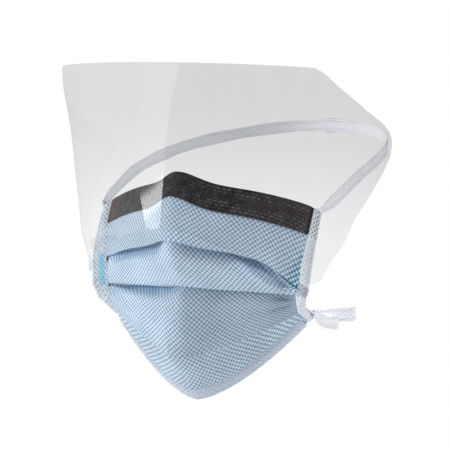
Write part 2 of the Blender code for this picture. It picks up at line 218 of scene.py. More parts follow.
@dataclass(frozen=True)
class SharedEffect:
    """A node group that more than one material uses: a vector and some numbers in, masks out."""

    name: str
    numbers: tuple[tuple[str, float], ...]
    outputs: tuple[str, ...]

    def build(self) -> bpy.types.NodeTree:
        """Makes the group with its named sockets.

        Returns:
            The group's tree.
        """
        tree = bpy.data.node_groups.new(self.name, "ShaderNodeTree")
        tree.interface.new_socket(name="Vector", in_out="INPUT", socket_type="NodeSocketVector")
        for name, value in self.numbers:
            socket = tree.interface.new_socket(name=name, in_out="INPUT", socket_type="NodeSocketFloat")
            socket.default_value = value
        for name in self.outputs:
            tree.interface.new_socket(name=name, in_out="OUTPUT", socket_type="NodeSocketFloat")
        graph = Graph(tree)
        source = tree.nodes.new("NodeGroupInput")
        result = tree.nodes.new("NodeGroupOutput")
        for name, mask in zip(self.outputs, self.masks(graph, source.outputs)):
            graph.feed(result.inputs[name], mask)
        return tree

    def masks(self, graph: Graph, source: bpy.types.bpy_prop_collection) -> list[Socket]:
        """The outputs' values, which each effect works out in its own way."""
        raise NotImplementedError


@dataclass(frozen=True)
class BondLattice(SharedEffect):
    """The diamond lattice of bond points that is rolled into nonwoven cloth."""

    name: str = "bond_lattice"
    numbers: tuple[tuple[str, float], ...] = (("Pitch", 0.0021), ("Waver", 0.0002))
    outputs: tuple[str, ...] = ("Dots",)

    def masks(self, graph: Graph, source: bpy.types.bpy_prop_collection) -> list[Socket]:
        """Two crossed waves at 45 degrees to the cloth, a little uneven.

        Args:
            graph: The group's graph.
            source: The group's inputs.

        Returns:
            The dots' mask.
        """
        wander = graph.add("TexNoise", {"Vector": source["Vector"], "Scale": 260.0, "Detail": 1.0})
        centred = graph.vector("SUBTRACT", {0: wander.outputs["Color"], 1: (0.5, 0.5, 0.5)})
        drift = graph.vector("SCALE", {0: centred, "Scale": graph.times(source["Waver"], 4.0)})
        moved = graph.vector("ADD", {0: source["Vector"], 1: drift})
        turned = graph.add("Mapping", {"Vector": moved, "Rotation": (0.0, 0.0, math.radians(45))})
        rate = graph.math("DIVIDE", math.tau, source["Pitch"])
        waves = [graph.math("COSINE", graph.times(axis, rate)) for axis in graph.axes(turned.outputs[0])[:2]]
        return [graph.math("MULTIPLY_ADD", graph.math("ADD", *waves), 0.25, 0.5)]


@dataclass(frozen=True)
class FibreWeb(SharedEffect):
    """The random web of fine spun fibres between the bond points."""

    name: str = "fibre_web"
    numbers: tuple[tuple[str, float], ...] = (("Fineness", 1.0),)
    outputs: tuple[str, ...] = ("Fibres", "Cloud")

    def masks(self, graph: Graph, source: bpy.types.bpy_prop_collection) -> list[Socket]:
        """Thin crossed streaks, and the cloudy thick and thin places of the web.

        Args:
            graph: The group's graph.
            source: The group's inputs.

        Returns:
            The fibres' mask and the cloud.
        """
        sized = graph.vector("SCALE", {0: source["Vector"], "Scale": source["Fineness"]})
        streaks = []
        for turn in (0.35, 1.25, 2.2):
            thread = graph.noise(graph.stretch(sized, (0.28, 1.0, 1.0), turn), 5200.0, 2.0, 0.6)
            off = graph.math("ABSOLUTE", graph.math("SUBTRACT", thread, 0.5))
            streaks.append(graph.rise(off, 0.0, 0.07, 1.0, 0.0))
        return [graph.most(*streaks), graph.noise(sized, 420.0, 4.0, 0.62)]


@dataclass(frozen=True)
class Material:
    """What every finish shares."""

    name: str
    roughness: float = 0.85
    specular: float = 0.3
    sheen: float = 0.0

    def build(self, groups: Groups) -> Paint:
        """Makes the material.

        Args:
            groups: The shared node groups, by name.

        Returns:
            The material.
        """
        material = bpy.data.materials.new(self.name)
        material.use_nodes = True
        shader = material.node_tree.nodes["Principled BSDF"]
        shader.inputs["Roughness"].default_value = self.roughness
        shader.inputs["Specular IOR Level"].default_value = self.specular
        shader.inputs["Sheen Weight"].default_value = self.sheen
        self.paint(Graph(material.node_tree), shader, groups)
        return material

    def paint(self, graph: Graph, shader: bpy.types.Node, groups: Groups) -> None:
        """Feeds the shader, in each finish's own way."""
        raise NotImplementedError


class Weave(NamedTuple):
    """The maps and masks that a cloth is painted from."""

    vector: Socket
    across: Socket
    down: Socket
    dots: Socket
    fibres: Socket
    cloud: Socket


@dataclass(frozen=True)
class Cloth(Material):
    """A nonwoven cloth, with its bond points and its fibres in colour and in relief."""

    pitch: float = 0.0021
    waver: float = 0.0002
    fineness: float = 1.0
    relief: float = 0.6
    depth: float = 0.00015  # metres

    def paint(self, graph: Graph, shader: bpy.types.Node, groups: Groups) -> None:
        """Feeds the shader from the shared effects and the cloth's own look.

        Args:
            graph: The material's graph.
            shader: Its Principled shader.
            groups: The shared node groups, by name.
        """
        vector = graph.uv(CLOTH_MAP)
        values = {"Vector": vector, "Pitch": self.pitch, "Waver": self.waver}
        lattice = graph.add("Group", values, node_tree=groups["bond_lattice"])
        web = graph.add("Group", {"Vector": vector, "Fineness": self.fineness}, node_tree=groups["fibre_web"])
        across, down, _ = graph.axes(graph.uv(PLACE_MAP))
        colour, height = self.look(graph, Weave(vector, across, down, *lattice.outputs, *web.outputs))
        bump = graph.add("Bump", {"Height": height, "Strength": self.relief, "Distance": self.depth})
        graph.feed(shader.inputs["Base Color"], colour)
        graph.feed(shader.inputs["Normal"], bump.outputs["Normal"])

    def look(self, graph: Graph, weave: Weave) -> tuple[Socket, Socket]:
        """The colour and the height, which each cloth works out in its own way."""
        raise NotImplementedError


class PanelShading(NamedTuple):
    """Painted light and shade: how pale one panel of the cloth is made on either side of the ridge, as its
    facets face the light.
    """

    top: float  # from where to where down the cloth
    foot: float
    right: float
    left: float


class Shade(NamedTuple):
    """Where a shadow is painted on the cloth below a pleat's lip."""

    at: float  # the lip's place down the cloth
    reach: float  # how far down the darkening fades out
    low: float  # from where to where across
    high: float
    strength: float


@dataclass(frozen=True)
class BlueCloth(Cloth):
    """The blue outer cloth: pale bond points on a blue-grey ground, with painted light and shade on its
    panels and painted shadows below the pleats' lips.
    """

    name: str = "blue_cloth"
    specular: float = 0.25
    sheen: float = 0.12
    relief: float = 0.5
    depth: float = 0.00012
    dot: Triple = (0.60, 0.70, 0.79)
    ground: Triple = (0.172, 0.278, 0.395)
    bonded: Triple = (0.050, 0.175, 0.265)
    bonded_dot: Triple = (0.52, 0.74, 0.84)
    charcoal: Triple = (0.016, 0.015, 0.017)
    shaded: Triple = (0.36, 0.54, 0.72)
    strip_end: float = 0.36
    # painted light and shade on each panel's two facets
    panel_shading: tuple[PanelShading, ...] = (
        PanelShading(0.0, 1.0, 0.89, 1.11),
        PanelShading(1.0, 2.0, 1.02, 1.04),
        PanelShading(2.0, 3.0, 0.93, 0.83),
        PanelShading(3.0, 4.0, 0.92, 0.92),
    )
    # painted shadows below the pleats' lips, and over the creased end of the lower panel
    shades: tuple[Shade, ...] = (
        Shade(1.0, 0.46, -0.80, -0.14, 0.68),
        Shade(1.0, 0.32, 0.10, 0.60, 0.40),
        Shade(1.0, 0.72, 0.54, 0.93, 0.58),
        Shade(2.0, 0.17, -0.30, 0.00, 0.80),
        Shade(2.0, 0.32, -0.82, -0.26, 0.80),
        Shade(2.0, 0.09, 0.02, 0.90, 0.35),
        Shade(2.0, 0.60, 0.76, 0.96, 0.30),
    )

    def look(self, graph: Graph, weave: Weave) -> tuple[Socket, Socket]:
        """The cloth's colour and relief.

        Args:
            graph: The material's graph.
            weave: The maps and masks.

        Returns:
            The colour and the height.
        """
        vector, across, down, dots, fibres, cloud = weave
        patches = graph.math("MULTIPLY_ADD", cloud, 0.378, -0.189)
        dots = graph.math("ADD", graph.rise(dots, 0.08, 0.92), patches)
        colour = graph.mix(graph.rise(dots, 0.0, 1.0), self.ground, self.dot)
        tone_and_shading = graph.rise(graph.noise(vector, 38.0), 0.3, 0.7, 0.92, 1.06)
        # Painted light and shade: each panel is made paler or darker on either side of the ridge, as if lit
        # from one side.
        for panel in self.panel_shading:
            below = graph.math("GREATER_THAN", down, panel.top)
            inside = graph.times(below, graph.math("LESS_THAN", down, panel.foot))
            change = graph.rise(across, -0.07, 0.07, panel.right - 1, panel.left - 1)
            tone_and_shading = graph.times(tone_and_shading, graph.math("MULTIPLY_ADD", change, inside, 1.0))
        colour = graph.mix(1.0, colour, tone_and_shading, "MULTIPLY")
        # Painted shadows: the cloth just below each lip is darkened and blued, where the lip keeps the light
        # off.
        lip_shadows = []
        for shade in self.shades:
            near = graph.rise(down, shade.at, shade.at + shade.reach, shade.strength, 0.0)
            below = graph.math("GREATER_THAN", down, shade.at)
            lip_shadows.append(graph.times(near, below, graph.window(across, shade.low, shade.high, 0.07)))
        colour = graph.mix(graph.most(*lip_shadows), colour, self.shaded, "MULTIPLY")
        inner = graph.rise(down, 0.55, 1.0, 0.905, 0.835)
        wedge = graph.rise(graph.math("SUBTRACT", across, inner), 0.0, 0.03)
        patchy = graph.rise(graph.noise(vector, 900.0, 1.0), 0.30, 0.5, 0.55, 1.0)
        pressed = graph.mix(graph.rise(dots, 0.42, 0.66), self.bonded, self.bonded_dot)
        colour = graph.mix(graph.times(wedge, graph.window(down, 0.60, 1.30, 0.03), patchy), colour, pressed)
        under_strip = graph.rise(down, self.strip_end - 0.012, self.strip_end - 0.004, 1.0, 0.0)
        return graph.mix(under_strip, colour, self.charcoal), graph.math("MULTIPLY_ADD", fibres, 0.25, dots)


@dataclass(frozen=True)
class CharcoalCloth(Cloth):
    """The black anti-glare strip: a matt fibre web with faint pressed dashes, a painted highlight over its
    part towards the wearer's left and a painted reddish reflection at its other end.
    """

    name: str = "charcoal_cloth"
    roughness: float = 0.8
    specular: float = 0.12
    waver: float = 0.0004
    fineness: float = 0.55
    depth: float = 0.00012
    deep: Triple = (0.0065, 0.0060, 0.0070)
    worn: Triple = (0.040, 0.037, 0.038)
    highlight_brown: Triple = (0.046, 0.034, 0.031)
    reflected_red: Triple = (0.075, 0.032, 0.028)
    dash: Triple = (0.125, 0.120, 0.122)
    dash_pitch: float = 0.0032
    row_pitch: float = 0.0020
    grid: float = 100.0  # the dashes are laid out at this scale, as the Brick node needs sizes near 1

    def look(self, graph: Graph, weave: Weave) -> tuple[Socket, Socket]:
        """The strip's colour and relief.

        Args:
            graph: The material's graph.
            weave: The maps and masks.

        Returns:
            The colour and the height.
        """
        vector, across, down, dots, fibres, cloud = weave
        fibres = graph.times(fibres, graph.rise(cloud, 0.35, 0.65, 0.25, 0.85))
        colour = graph.mix(graph.most(graph.rise(cloud, 0.42, 0.68), fibres), self.deep, self.worn)
        # Painted highlight: past a slanting line, the strip's part towards the wearer's left is made lighter
        # and browner.
        turned = graph.rise(graph.math("MULTIPLY_ADD", down, 0.16, across), 0.55, 0.57, 0.0, 0.55)
        colour = graph.mix(turned, colour, self.highlight_brown)
        # Painted reflection: a reddish tinge at the strip's end on the wearer's right, in place of a
        # reflection in the film.
        colour = graph.mix(graph.rise(across, -0.88, -0.66, 0.7, 0.0), colour, self.reflected_red)
        points = graph.times(
            graph.rise(dots, 0.66, 0.88),
            graph.rise(cloud, 0.38, 0.62, 0.12, 0.62),
            graph.rise(across, 0.05, 0.40, 1.0, 0.3),
        )
        rows = graph.math("ADD", graph.window(down, 0.04, 0.30, 0.02), graph.window(down, 0.55, 0.98, 0.02))
        values = {
            "Vector": graph.stretch(vector, (self.grid, self.grid, self.grid)),
            "Scale": 1.0,
            "Mortar Size": 0.068,
            "Mortar Smooth": 0.35,
            "Brick Width": self.dash_pitch * self.grid,
            "Row Height": self.row_pitch * self.grid,
        }
        dashes = graph.times(
            graph.math("SUBTRACT", 1.0, graph.add("TexBrick", values).outputs["Fac"]),
            graph.rise(rows, 0.0, 1.0, 0.12, 0.9),
            graph.rise(cloud, 0.38, 0.60, 0.15, 1.0),
            graph.rise(across, 0.05, 0.35, 0.35, 1.0),
        )
        colour = graph.mix(graph.most(dashes, points), colour, self.dash)
        return colour, graph.math("SUBTRACT", graph.times(fibres, 0.8), points)


@dataclass(frozen=True)
class WhiteTape(Cloth):
    """Thin white nonwoven tape that shows what lies under its bond points."""

    name: str = "white_binding"
    sheen: float = 0.15
    pitch: float = 0.0020
    waver: float = 0.00025
    ground: Triple = (0.70, 0.73, 0.77)
    point: Triple = (0.36, 0.40, 0.45)
    over_strip: Triple = (0.032, 0.028, 0.032)
    patch: Triple = (0.44, 0.44, 0.51)
    patch_point: Triple = (0.24, 0.24, 0.31)
    bar: Triple = (0.27, 0.50, 0.62)
    bar_point: Triple = (0.09, 0.30, 0.42)
    strip_share: float = 0.0  # how far down the edge the black strip lies under the tape
    patch_at: tuple[float, float] = (2.0, 2.0)  # from where to where the darker patch runs
    bar_at: tuple[float, float] = (2.0, 2.0)  # the same for the teal bar near the tape's inner edge

    def look(self, graph: Graph, weave: Weave) -> tuple[Socket, Socket]:
        """The tape's colour and relief.

        Args:
            graph: The material's graph.
            weave: The maps and masks.

        Returns:
            The colour and the height.
        """
        _, across, along, dots, fibres, cloud = weave
        points = graph.rise(dots, 0.60, 0.84)
        colour = graph.mix(graph.times(graph.rise(cloud, 0.35, 0.65), 0.22), self.ground, self.point)
        front = graph.rise(across, 0.50, 0.54, 1.0, 0.0)
        above = graph.rise(along, self.strip_share - 0.01, self.strip_share + 0.01, 1.0, 0.0)
        strip = graph.times(front, above)
        weight = graph.mix(strip, graph.rise(cloud, 0.38, 0.62, 0.35, 0.95), (0.95, 0.95, 0.95))
        colour = graph.mix(graph.times(points, weight), colour, graph.mix(strip, self.point, self.over_strip))
        bar = graph.times(graph.window(across, 0.07, 0.22, 0.01), graph.window(along, *self.bar_at, 0.008))
        colour = graph.mix(bar, colour, graph.mix(points, self.bar, self.bar_point))
        patch = graph.times(front, graph.window(along, *self.patch_at, 0.008))
        colour = graph.mix(patch, colour, graph.mix(points, self.patch, self.patch_point))
        return colour, graph.math("SUBTRACT", graph.times(fibres, 0.4), points)


@dataclass(frozen=True)
class WhiteTie(Cloth):
    """The white ties: folded nonwoven with a pressed line near each edge."""

    name: str = "white_tie"
    sheen: float = 0.15
    waver: float = 0.0003
    ground: Triple = (0.90, 0.905, 0.93)
    point: Triple = (0.68, 0.70, 0.74)
    seam_at: float = 0.62  # share of the half width

    def look(self, graph: Graph, weave: Weave) -> tuple[Socket, Socket]:
        """The ties' colour and relief.

        Args:
            graph: The material's graph.
            weave: The maps and masks.

        Returns:
            The colour and the height.
        """
        _, across, _, dots, fibres, cloud = weave
        points = graph.rise(dots, 0.62, 0.88)
        inset = graph.math("SUBTRACT", graph.math("ABSOLUTE", across), self.seam_at)
        seam = graph.rise(graph.math("ABSOLUTE", inset), 0.03, 0.09, 1.0, 0.0)
        colour = self.ground
        for mask, share in ((graph.rise(cloud, 0.35, 0.7), 0.25), (points, 0.5), (seam, 0.35)):
            colour = graph.mix(graph.times(mask, share), colour, self.point)
        height = graph.math("SUBTRACT", graph.times(fibres, 0.4), points)
        return colour, graph.math("MULTIPLY_ADD", seam, -1.5, height)


@dataclass(frozen=True)
class ClearFilm(Material):
    """The clear film: a faint grey tint that thins towards its foot, under a mirror gloss."""

    name: str = "clear_film"
    roughness: float = 0.5
    specular: float = 0.2
    haze: Triple = (0.50, 0.51, 0.53)
    tint_top: Triple = (0.858, 0.858, 0.860)
    tint_foot: Triple = (0.970, 0.972, 0.975)
    low: float = -0.055  # the heights between which the tint changes
    high: float = 0.045
    gloss_roughness: float = 0.02
    straight_gloss: float = 0.04
    grazing_gloss: float = 0.12

    def paint(self, graph: Graph, shader: bpy.types.Node, groups: Groups) -> None:
        """Lays haze and gloss over a tinted clear shader.

        Args:
            graph: The material's graph.
            shader: Its Principled shader.
            groups: The shared node groups, by name; not used.
        """
        graph.feed(shader.inputs["Base Color"], self.haze)
        smear = graph.noise(graph.stretch(graph.uv(CLOTH_MAP), (1.0, 0.12, 1.0)), 90.0, 3.0, 0.6)
        tint = graph.mix(graph.rise(graph.level(), self.low, self.high), self.tint_foot, self.tint_top)
        passed = graph.rise(graph.add("LightPath").outputs["Transparent Depth"], 1.4, 1.6)
        tint = graph.mix(graph.times(passed, 0.95), tint, WHITE)
        clear = graph.add("BsdfTransparent", {"Color": tint})
        gloss = graph.add("BsdfGlossy", {"Color": WHITE, "Roughness": self.gloss_roughness})
        edge = graph.math("POWER", graph.add("LayerWeight", {"Blend": 0.5}).outputs["Facing"], 4.0)
        mirror = graph.math("MULTIPLY_ADD", edge, self.grazing_gloss, self.straight_gloss)
        mirror = graph.times(mirror, graph.rise(passed, 0.0, 1.0, 1.0, 0.05))
        haze = graph.rise(smear, 0.3, 0.7, 0.004, 0.010)
        body = graph.add("MixShader", {0: haze, 1: clear.outputs[0], 2: shader.outputs[0]})
        whole = graph.add("MixShader", {0: mirror, 1: body.outputs[0], 2: gloss.outputs[0]})
        graph.feed(graph.tree.nodes["Material Output"].inputs["Surface"], whole.outputs[0])


@dataclass(frozen=True)
class SoftboxFace(Material):
    """The glowing face of a panel that the film mirrors: brightest in its band, dimmer above and below."""

    name: str = "softbox_face"
    specular: float = 0.0
    colour: Triple = (0.97, 0.98, 1.0)
    band: float = 6.6
    above: float = 0.9
    below: float = 2.9
    band_foot: float = -0.219
    band_top: float = -0.196

    def paint(self, graph: Graph, shader: bpy.types.Node, groups: Groups) -> None:
        """Feeds the glow.

        Args:
            graph: The material's graph.
            shader: Its Principled shader.
            groups: The shared node groups, by name; not used.
        """
        height = graph.level()
        climb = graph.rise(height, self.band_foot - 0.006, self.band_foot + 0.006, self.below, self.band)
        fall = graph.rise(height, self.band_top - 0.007, self.band_top + 0.007, 1.0, self.above / self.band)
        graph.feed(shader.inputs["Base Color"], (0.0, 0.0, 0.0))
        graph.feed(shader.inputs["Emission Color"], self.colour)
        graph.feed(shader.inputs["Emission Strength"], graph.times(climb, fall))


@dataclass(frozen=True)
class PaleFloor(Material):
    """The plain pale floor, which glows so that it stays pale, but lights the mask only a little."""

    name: str = "pale_floor"
    roughness: float = 0.7
    specular: float = 0.5
    colour: Triple = (0.85, 0.85, 0.86)
    mirrored: Triple = (0.04, 0.04, 0.045)
    seen_glow: float = 0.98
    cast_glow: float = 0.40

    def paint(self, graph: Graph, shader: bpy.types.Node, groups: Groups) -> None:
        """Feeds the colour and the glow.

        Args:
            graph: The material's graph.
            shader: Its Principled shader.
            groups: The shared node groups, by name; not used.
        """
        path = graph.add("LightPath").outputs
        seen, mirrored = path["Is Camera Ray"], path["Is Glossy Ray"]
        colour = graph.mix(graph.most(mirrored, seen), self.colour, self.mirrored)
        glow = graph.rise(seen, 0.0, 1.0, self.cast_glow, self.seen_glow)
        glow = graph.times(glow, graph.math("SUBTRACT", 1.0, mirrored))
        graph.feed(shader.inputs["Base Color"], colour)
        graph.feed(shader.inputs["Emission Color"], WHITE)
        graph.feed(shader.inputs["Emission Strength"], glow)


class Row(NamedTuple):
    """One line across the cloth, from edge to edge, as shares of the named sizes."""

    mid_down: float  # share of the open height, at the middle
    mid_back: float  # share of the side setback, at the middle
    end_down: float  # share of the side length, below the top corner
    end_back: float  # share of the side setback
    end_out: float  # share of the half width
    left_sag: float  # share of the side length that the wearer's left end hangs lower
    hump: float  # share of the nose hump
    fall: float  # power of the drop towards the side
    ridge: float  # roundness of the middle ridge, share of the half width
    lean: float  # where the ridge crosses, share of the half width
    right_flare: float  # metres that the wearer's right edge turns out to the front
    left_flare: float  # the same at the wearer's left edge


class Fold(NamedTuple):
    """A soft crease in the cloth, from one place to another."""

    start_across: float  # -1 at the wearer's right edge, 1 at the left edge
    start_down: float  # 0 at the top edge, 1 at the hem, counted along the middle line
    end_across: float
    end_down: float
    height: float  # metres that the crest stands out, negative for a valley
    width: float  # half width, in the same units as start_across


FOLDS = (
    Fold(0.30, 0.16, 0.80, 0.30, 0.0016, 0.12),
    Fold(0.02, 0.52, -0.14, 0.80, 0.0014, 0.20),
    Fold(-0.25, 0.62, -0.80, 0.60, 0.0014, 0.14),
    Fold(0.20, 0.66, 0.72, 0.58, -0.0012, 0.16),
    Fold(0.28, 0.14, 0.66, 0.27, -0.0007, 0.035),
    Fold(0.52, 0.32, 0.80, 0.47, 0.0022, 0.055),
    Fold(0.68, 0.31, 0.88, 0.42, -0.0032, 0.055),
    Fold(0.86, 0.40, 0.93, 0.48, 0.0014, 0.03),
    Fold(-0.60, 0.31, -0.84, 0.36, -0.0018, 0.05),
    Fold(-0.62, 0.52, -0.92, 0.53, 0.0016, 0.05),
    Fold(-0.52, 0.62, -0.95, 0.57, -0.0012, 0.045),
    Fold(-0.48, 0.72, -0.95, 0.62, 0.0013, 0.05),
    Fold(0.76, 0.53, 0.96, 0.57, -0.0024, 0.04),
    Fold(0.66, 0.60, 0.96, 0.60, 0.0013, 0.045),
    Fold(0.62, 0.68, 0.96, 0.62, -0.0012, 0.04),
)


@dataclass(frozen=True)
class ClothForm:
    """The worn shape of the mask's cloth, as lines across it from edge to edge."""

    half_width: float
    open_height: float
    side_drop: float = 0.0190
    side_length: float = 0.0610
    side_setback: float = 0.041
    nose_reach: float = 0.0105
    chin_setback: float = 0.030
    nose_hump: float = 0.0065
    nose_hump_width: float = 0.014
    strip_height: float = 0.0140
    belly: tuple[float, ...] = (0.0013, 0.0020, 0.0012, 0.0010)

    def rows(self) -> tuple[Row, ...]:
        """The lines that the cloth is laid through.

        Returns:
            The top edge, the strip's foot, the first pleat, the second pleat, the chin crease and the hem.
        """
        reach = self.nose_reach / self.side_setback
        chin = self.chin_setback / self.side_setback
        strip = self.strip_height / self.open_height
        return (
            Row(0.0, 0.0, 0.0, 1.0, 0.985, 0.0, 1.0, 2.2, 0.05, 0.0, 0.0030, 0.0045),
            Row(strip, -0.55 * reach, 0.25, 0.85, 0.99, 0.01, 1.1, 2.2, 0.06, 0.0, 0.0034, 0.0040),
            Row(0.295, -reach, 0.58, 0.70, 0.97, 0.20, 0.6, 2.4, 0.06, 0.0, 0.0042, 0.0036),
            Row(0.497, 0.14, 0.80, 0.67, 0.955, 0.0, 0.15, 3.0, 0.035, 0.02, 0.0042, 0.0034),
            Row(0.815, 0.25, 0.93, 0.76, 0.935, 0.0, 0.0, 1.35, 0.035, -0.13, 0.0030, 0.0012),
            Row(1.0, chin, 1.0, 1.0, 0.93, 0.0, 0.0, 1.5, 0.28, -0.04, 0.0010, 0.0),
        )

    def line(self, row: Row, across: Array) -> Array:
        """The points of one row.

        Args:
            row: The row.
            across: Places on it, from -1 to 1.

        Returns:
            One point for each place.
        """
        side = np.abs(across)
        out = row.end_out * self.half_width * across
        hump = row.hump * self.nose_hump * (1 - np.exp(-((out / self.nose_hump_width) ** 2)))
        mid_down = row.mid_down * self.open_height
        sag = row.left_sag * smooth_step((across - 0.45) / 0.5)
        end_down = self.side_drop + (row.end_down + sag) * self.side_length
        down = mid_down + hump + (end_down - mid_down - hump) * side**row.fall
        far = np.where(across < row.lean, -1.0, 1.0) - row.lean
        slope = (np.hypot(across - row.lean, row.ridge) - row.ridge) / (np.hypot(far, row.ridge) - row.ridge)
        mid_back = row.mid_back * self.side_setback
        back = mid_back + (row.end_back * self.side_setback - mid_back) * slope
        flare = np.where(across < 0, row.right_flare, row.left_flare)
        back = back - flare * np.clip((side - 0.83) / 0.17, 0, 1) ** 2
        return np.stack((out, back, -down), axis=-1)


class Pleat(NamedTuple):
    """How one pleat's lip stands over the cloth below it, in metres behind the lip."""

    lip: float  # thickness of the turned lip
    right: float  # opening on the wearer's right
    middle: float  # opening at the ridge
    left: float  # opening on the wearer's left
    reach: float  # share of the run below over which the cloth comes forward again


class Run(NamedTuple):
    """A stretch of cloth between two pleats, or between a pleat and an edge."""

    rows: tuple[int, ...]
    steps: int
    true: float  # the flat map's share that keeps true lengths instead of following the lines


PLEATS = (
    Pleat(0.0010, 0.0050, 0.0008, 0.0046, 0.40),
    Pleat(0.0009, 0.0040, 0.0008, 0.0020, 0.26),
)
RUNS = (Run((0, 1, 2), 44, 0.4), Run((2, 3), 30, 0.7), Run((3, 4), 40, 0.3), Run((4, 5), 26, 1.0))
CREASE_RUN = 3  # the run that starts at a sharp crease instead of a pleat
CHEEK_RUN = 2  # the run whose flat map hangs on its upper line at the wearer's right
CHEEK_START = -0.40  # where that begins, across


def bowed(lines: Sequence[Array], middle: float, shares: Array) -> Array:
    """Points down a run, straight between two rows or through three.

    Args:
        lines: The rows' points, two or three of them.
        middle: The middle row's share of the way down.
        shares: How far down each wanted line is.

    Returns:
        A grid of points, one line for each share.
    """
    at = shares[:, None, None]
    if len(lines) == 2:
        return lines[0] * (1 - at) + lines[1] * at
    weights = (
        (at - middle) * (at - 1) / middle,
        at * (at - 1) / (middle * (middle - 1)),
        at * (at - middle) / (1 - middle),
    )
    return sum(weight * line for weight, line in zip(weights, lines))


class Sheet:
    """The mask's cloth as a fine grid of points, before it gets its thickness."""

    def __init__(self, form: ClothForm, across: Array) -> None:
        """Works out the grid's points, inward normals and places on the flat cloth.

        Args:
            form: The worn shape.
            across: The columns' places, from -1 to 1.
        """
        self.form, self.across = form, across
        rows = form.rows()
        lines = [form.line(row, across) for row in rows]
        grids, downs, self.run_of = [], [], []
        for number, run in enumerate(RUNS):
            shares = np.linspace(0, 1, run.steps + 1)
            shares = shares[1:] if 0 < number < CREASE_RUN else shares
            if number == CREASE_RUN:
                shares[0] = 0.004
            top, bottom = rows[run.rows[0]].mid_down, rows[run.rows[-1]].mid_down
            middle = (rows[run.rows[1]].mid_down - top) / (bottom - top)
            grid = bowed([lines[i] for i in run.rows], middle, shares)
            bulge = form.belly[number] * np.sin(math.pi * shares)[:, None] * (1 - across[None, :] ** 4)
            lift = bulge + self.creases(top + (bottom - top) * shares, shares)
            grids.append(grid - lift[..., None] * np.array((0.0, 1.0, 0.0)))
            downs.append(number + shares)
            self.run_of += [number] * len(shares)
        self.places = np.concatenate(grids)
        self.down = np.concatenate(downs)
        self.normals = unit(np.cross(np.gradient(self.places, axis=1), np.gradient(self.places, axis=0)))
        self.cloth = self.flattened()

    def creases(self, down: Array, shares: Array) -> Array:
        """How far the folds lift the cloth, over a whole run.

        Args:
            down: The lines' places along the middle line, 0 at the top edge and 1 at the hem.
            shares: The lines' places in the run.

        Returns:
            Metres of lift for each line and column.
        """
        lift = np.zeros((len(down), len(self.across)))
        place = np.stack(np.meshgrid(self.across, down), axis=-1)
        for fold in FOLDS:
            start = np.array((fold.start_across, fold.start_down))
            along = np.array((fold.end_across, fold.end_down)) - start
            share = np.clip((place - start) @ along / (along @ along), 0, 1)
            reach = (place - start - share[..., None] * along) * (1.0, 1.6)
            distance = np.linalg.norm(reach, axis=-1)
            swell = np.sin(math.pi * (0.15 + 0.7 * share))
            lift += fold.height * swell * np.exp(-((distance / fold.width) ** 2))
        edge = smooth_step((1 - np.abs(self.across)) / 0.18)
        return lift * edge[None, :] * (np.sin(math.pi * shares) ** 0.6)[:, None]

    def flattened(self) -> Array:
        """Each point's place on the flat cloth, in metres across and down.

        Returns:
            Two numbers for each point: the length along its line from the middle, and a blend of the
            middle column's length and the point's own column's length down to the run's lower line.
        """
        middle = self.places.shape[1] // 2
        flat = np.zeros((*self.places.shape[:2], 2))
        offset = 0.0
        for number, run in enumerate(RUNS):
            lines = [i for i, at in enumerate(self.run_of) if at == number]
            along = run_lengths(self.places[lines].transpose(1, 0, 2)).T
            hung = run_lengths(self.places[lines])
            down = hung - hung[-1:] + hung[-1, middle]
            flat[lines, :, 0] = along - along[:, middle : middle + 1]
            flat[lines, :, 1] = offset + down * run.true + down[:, middle : middle + 1] * (1 - run.true)
            if number == CHEEK_RUN:
                start = int(np.searchsorted(self.across, CHEEK_START))
                for column in range(start):
                    level = np.interp(hung[:, column], hung[:, start], flat[lines, start, 1])
                    share = smooth_step((CHEEK_START - self.across[column]) / 0.25)
                    flat[lines, column, 1] = flat[lines, column, 1] * (1 - share) + level * share
            offset += hung[-1, middle]
        return flat


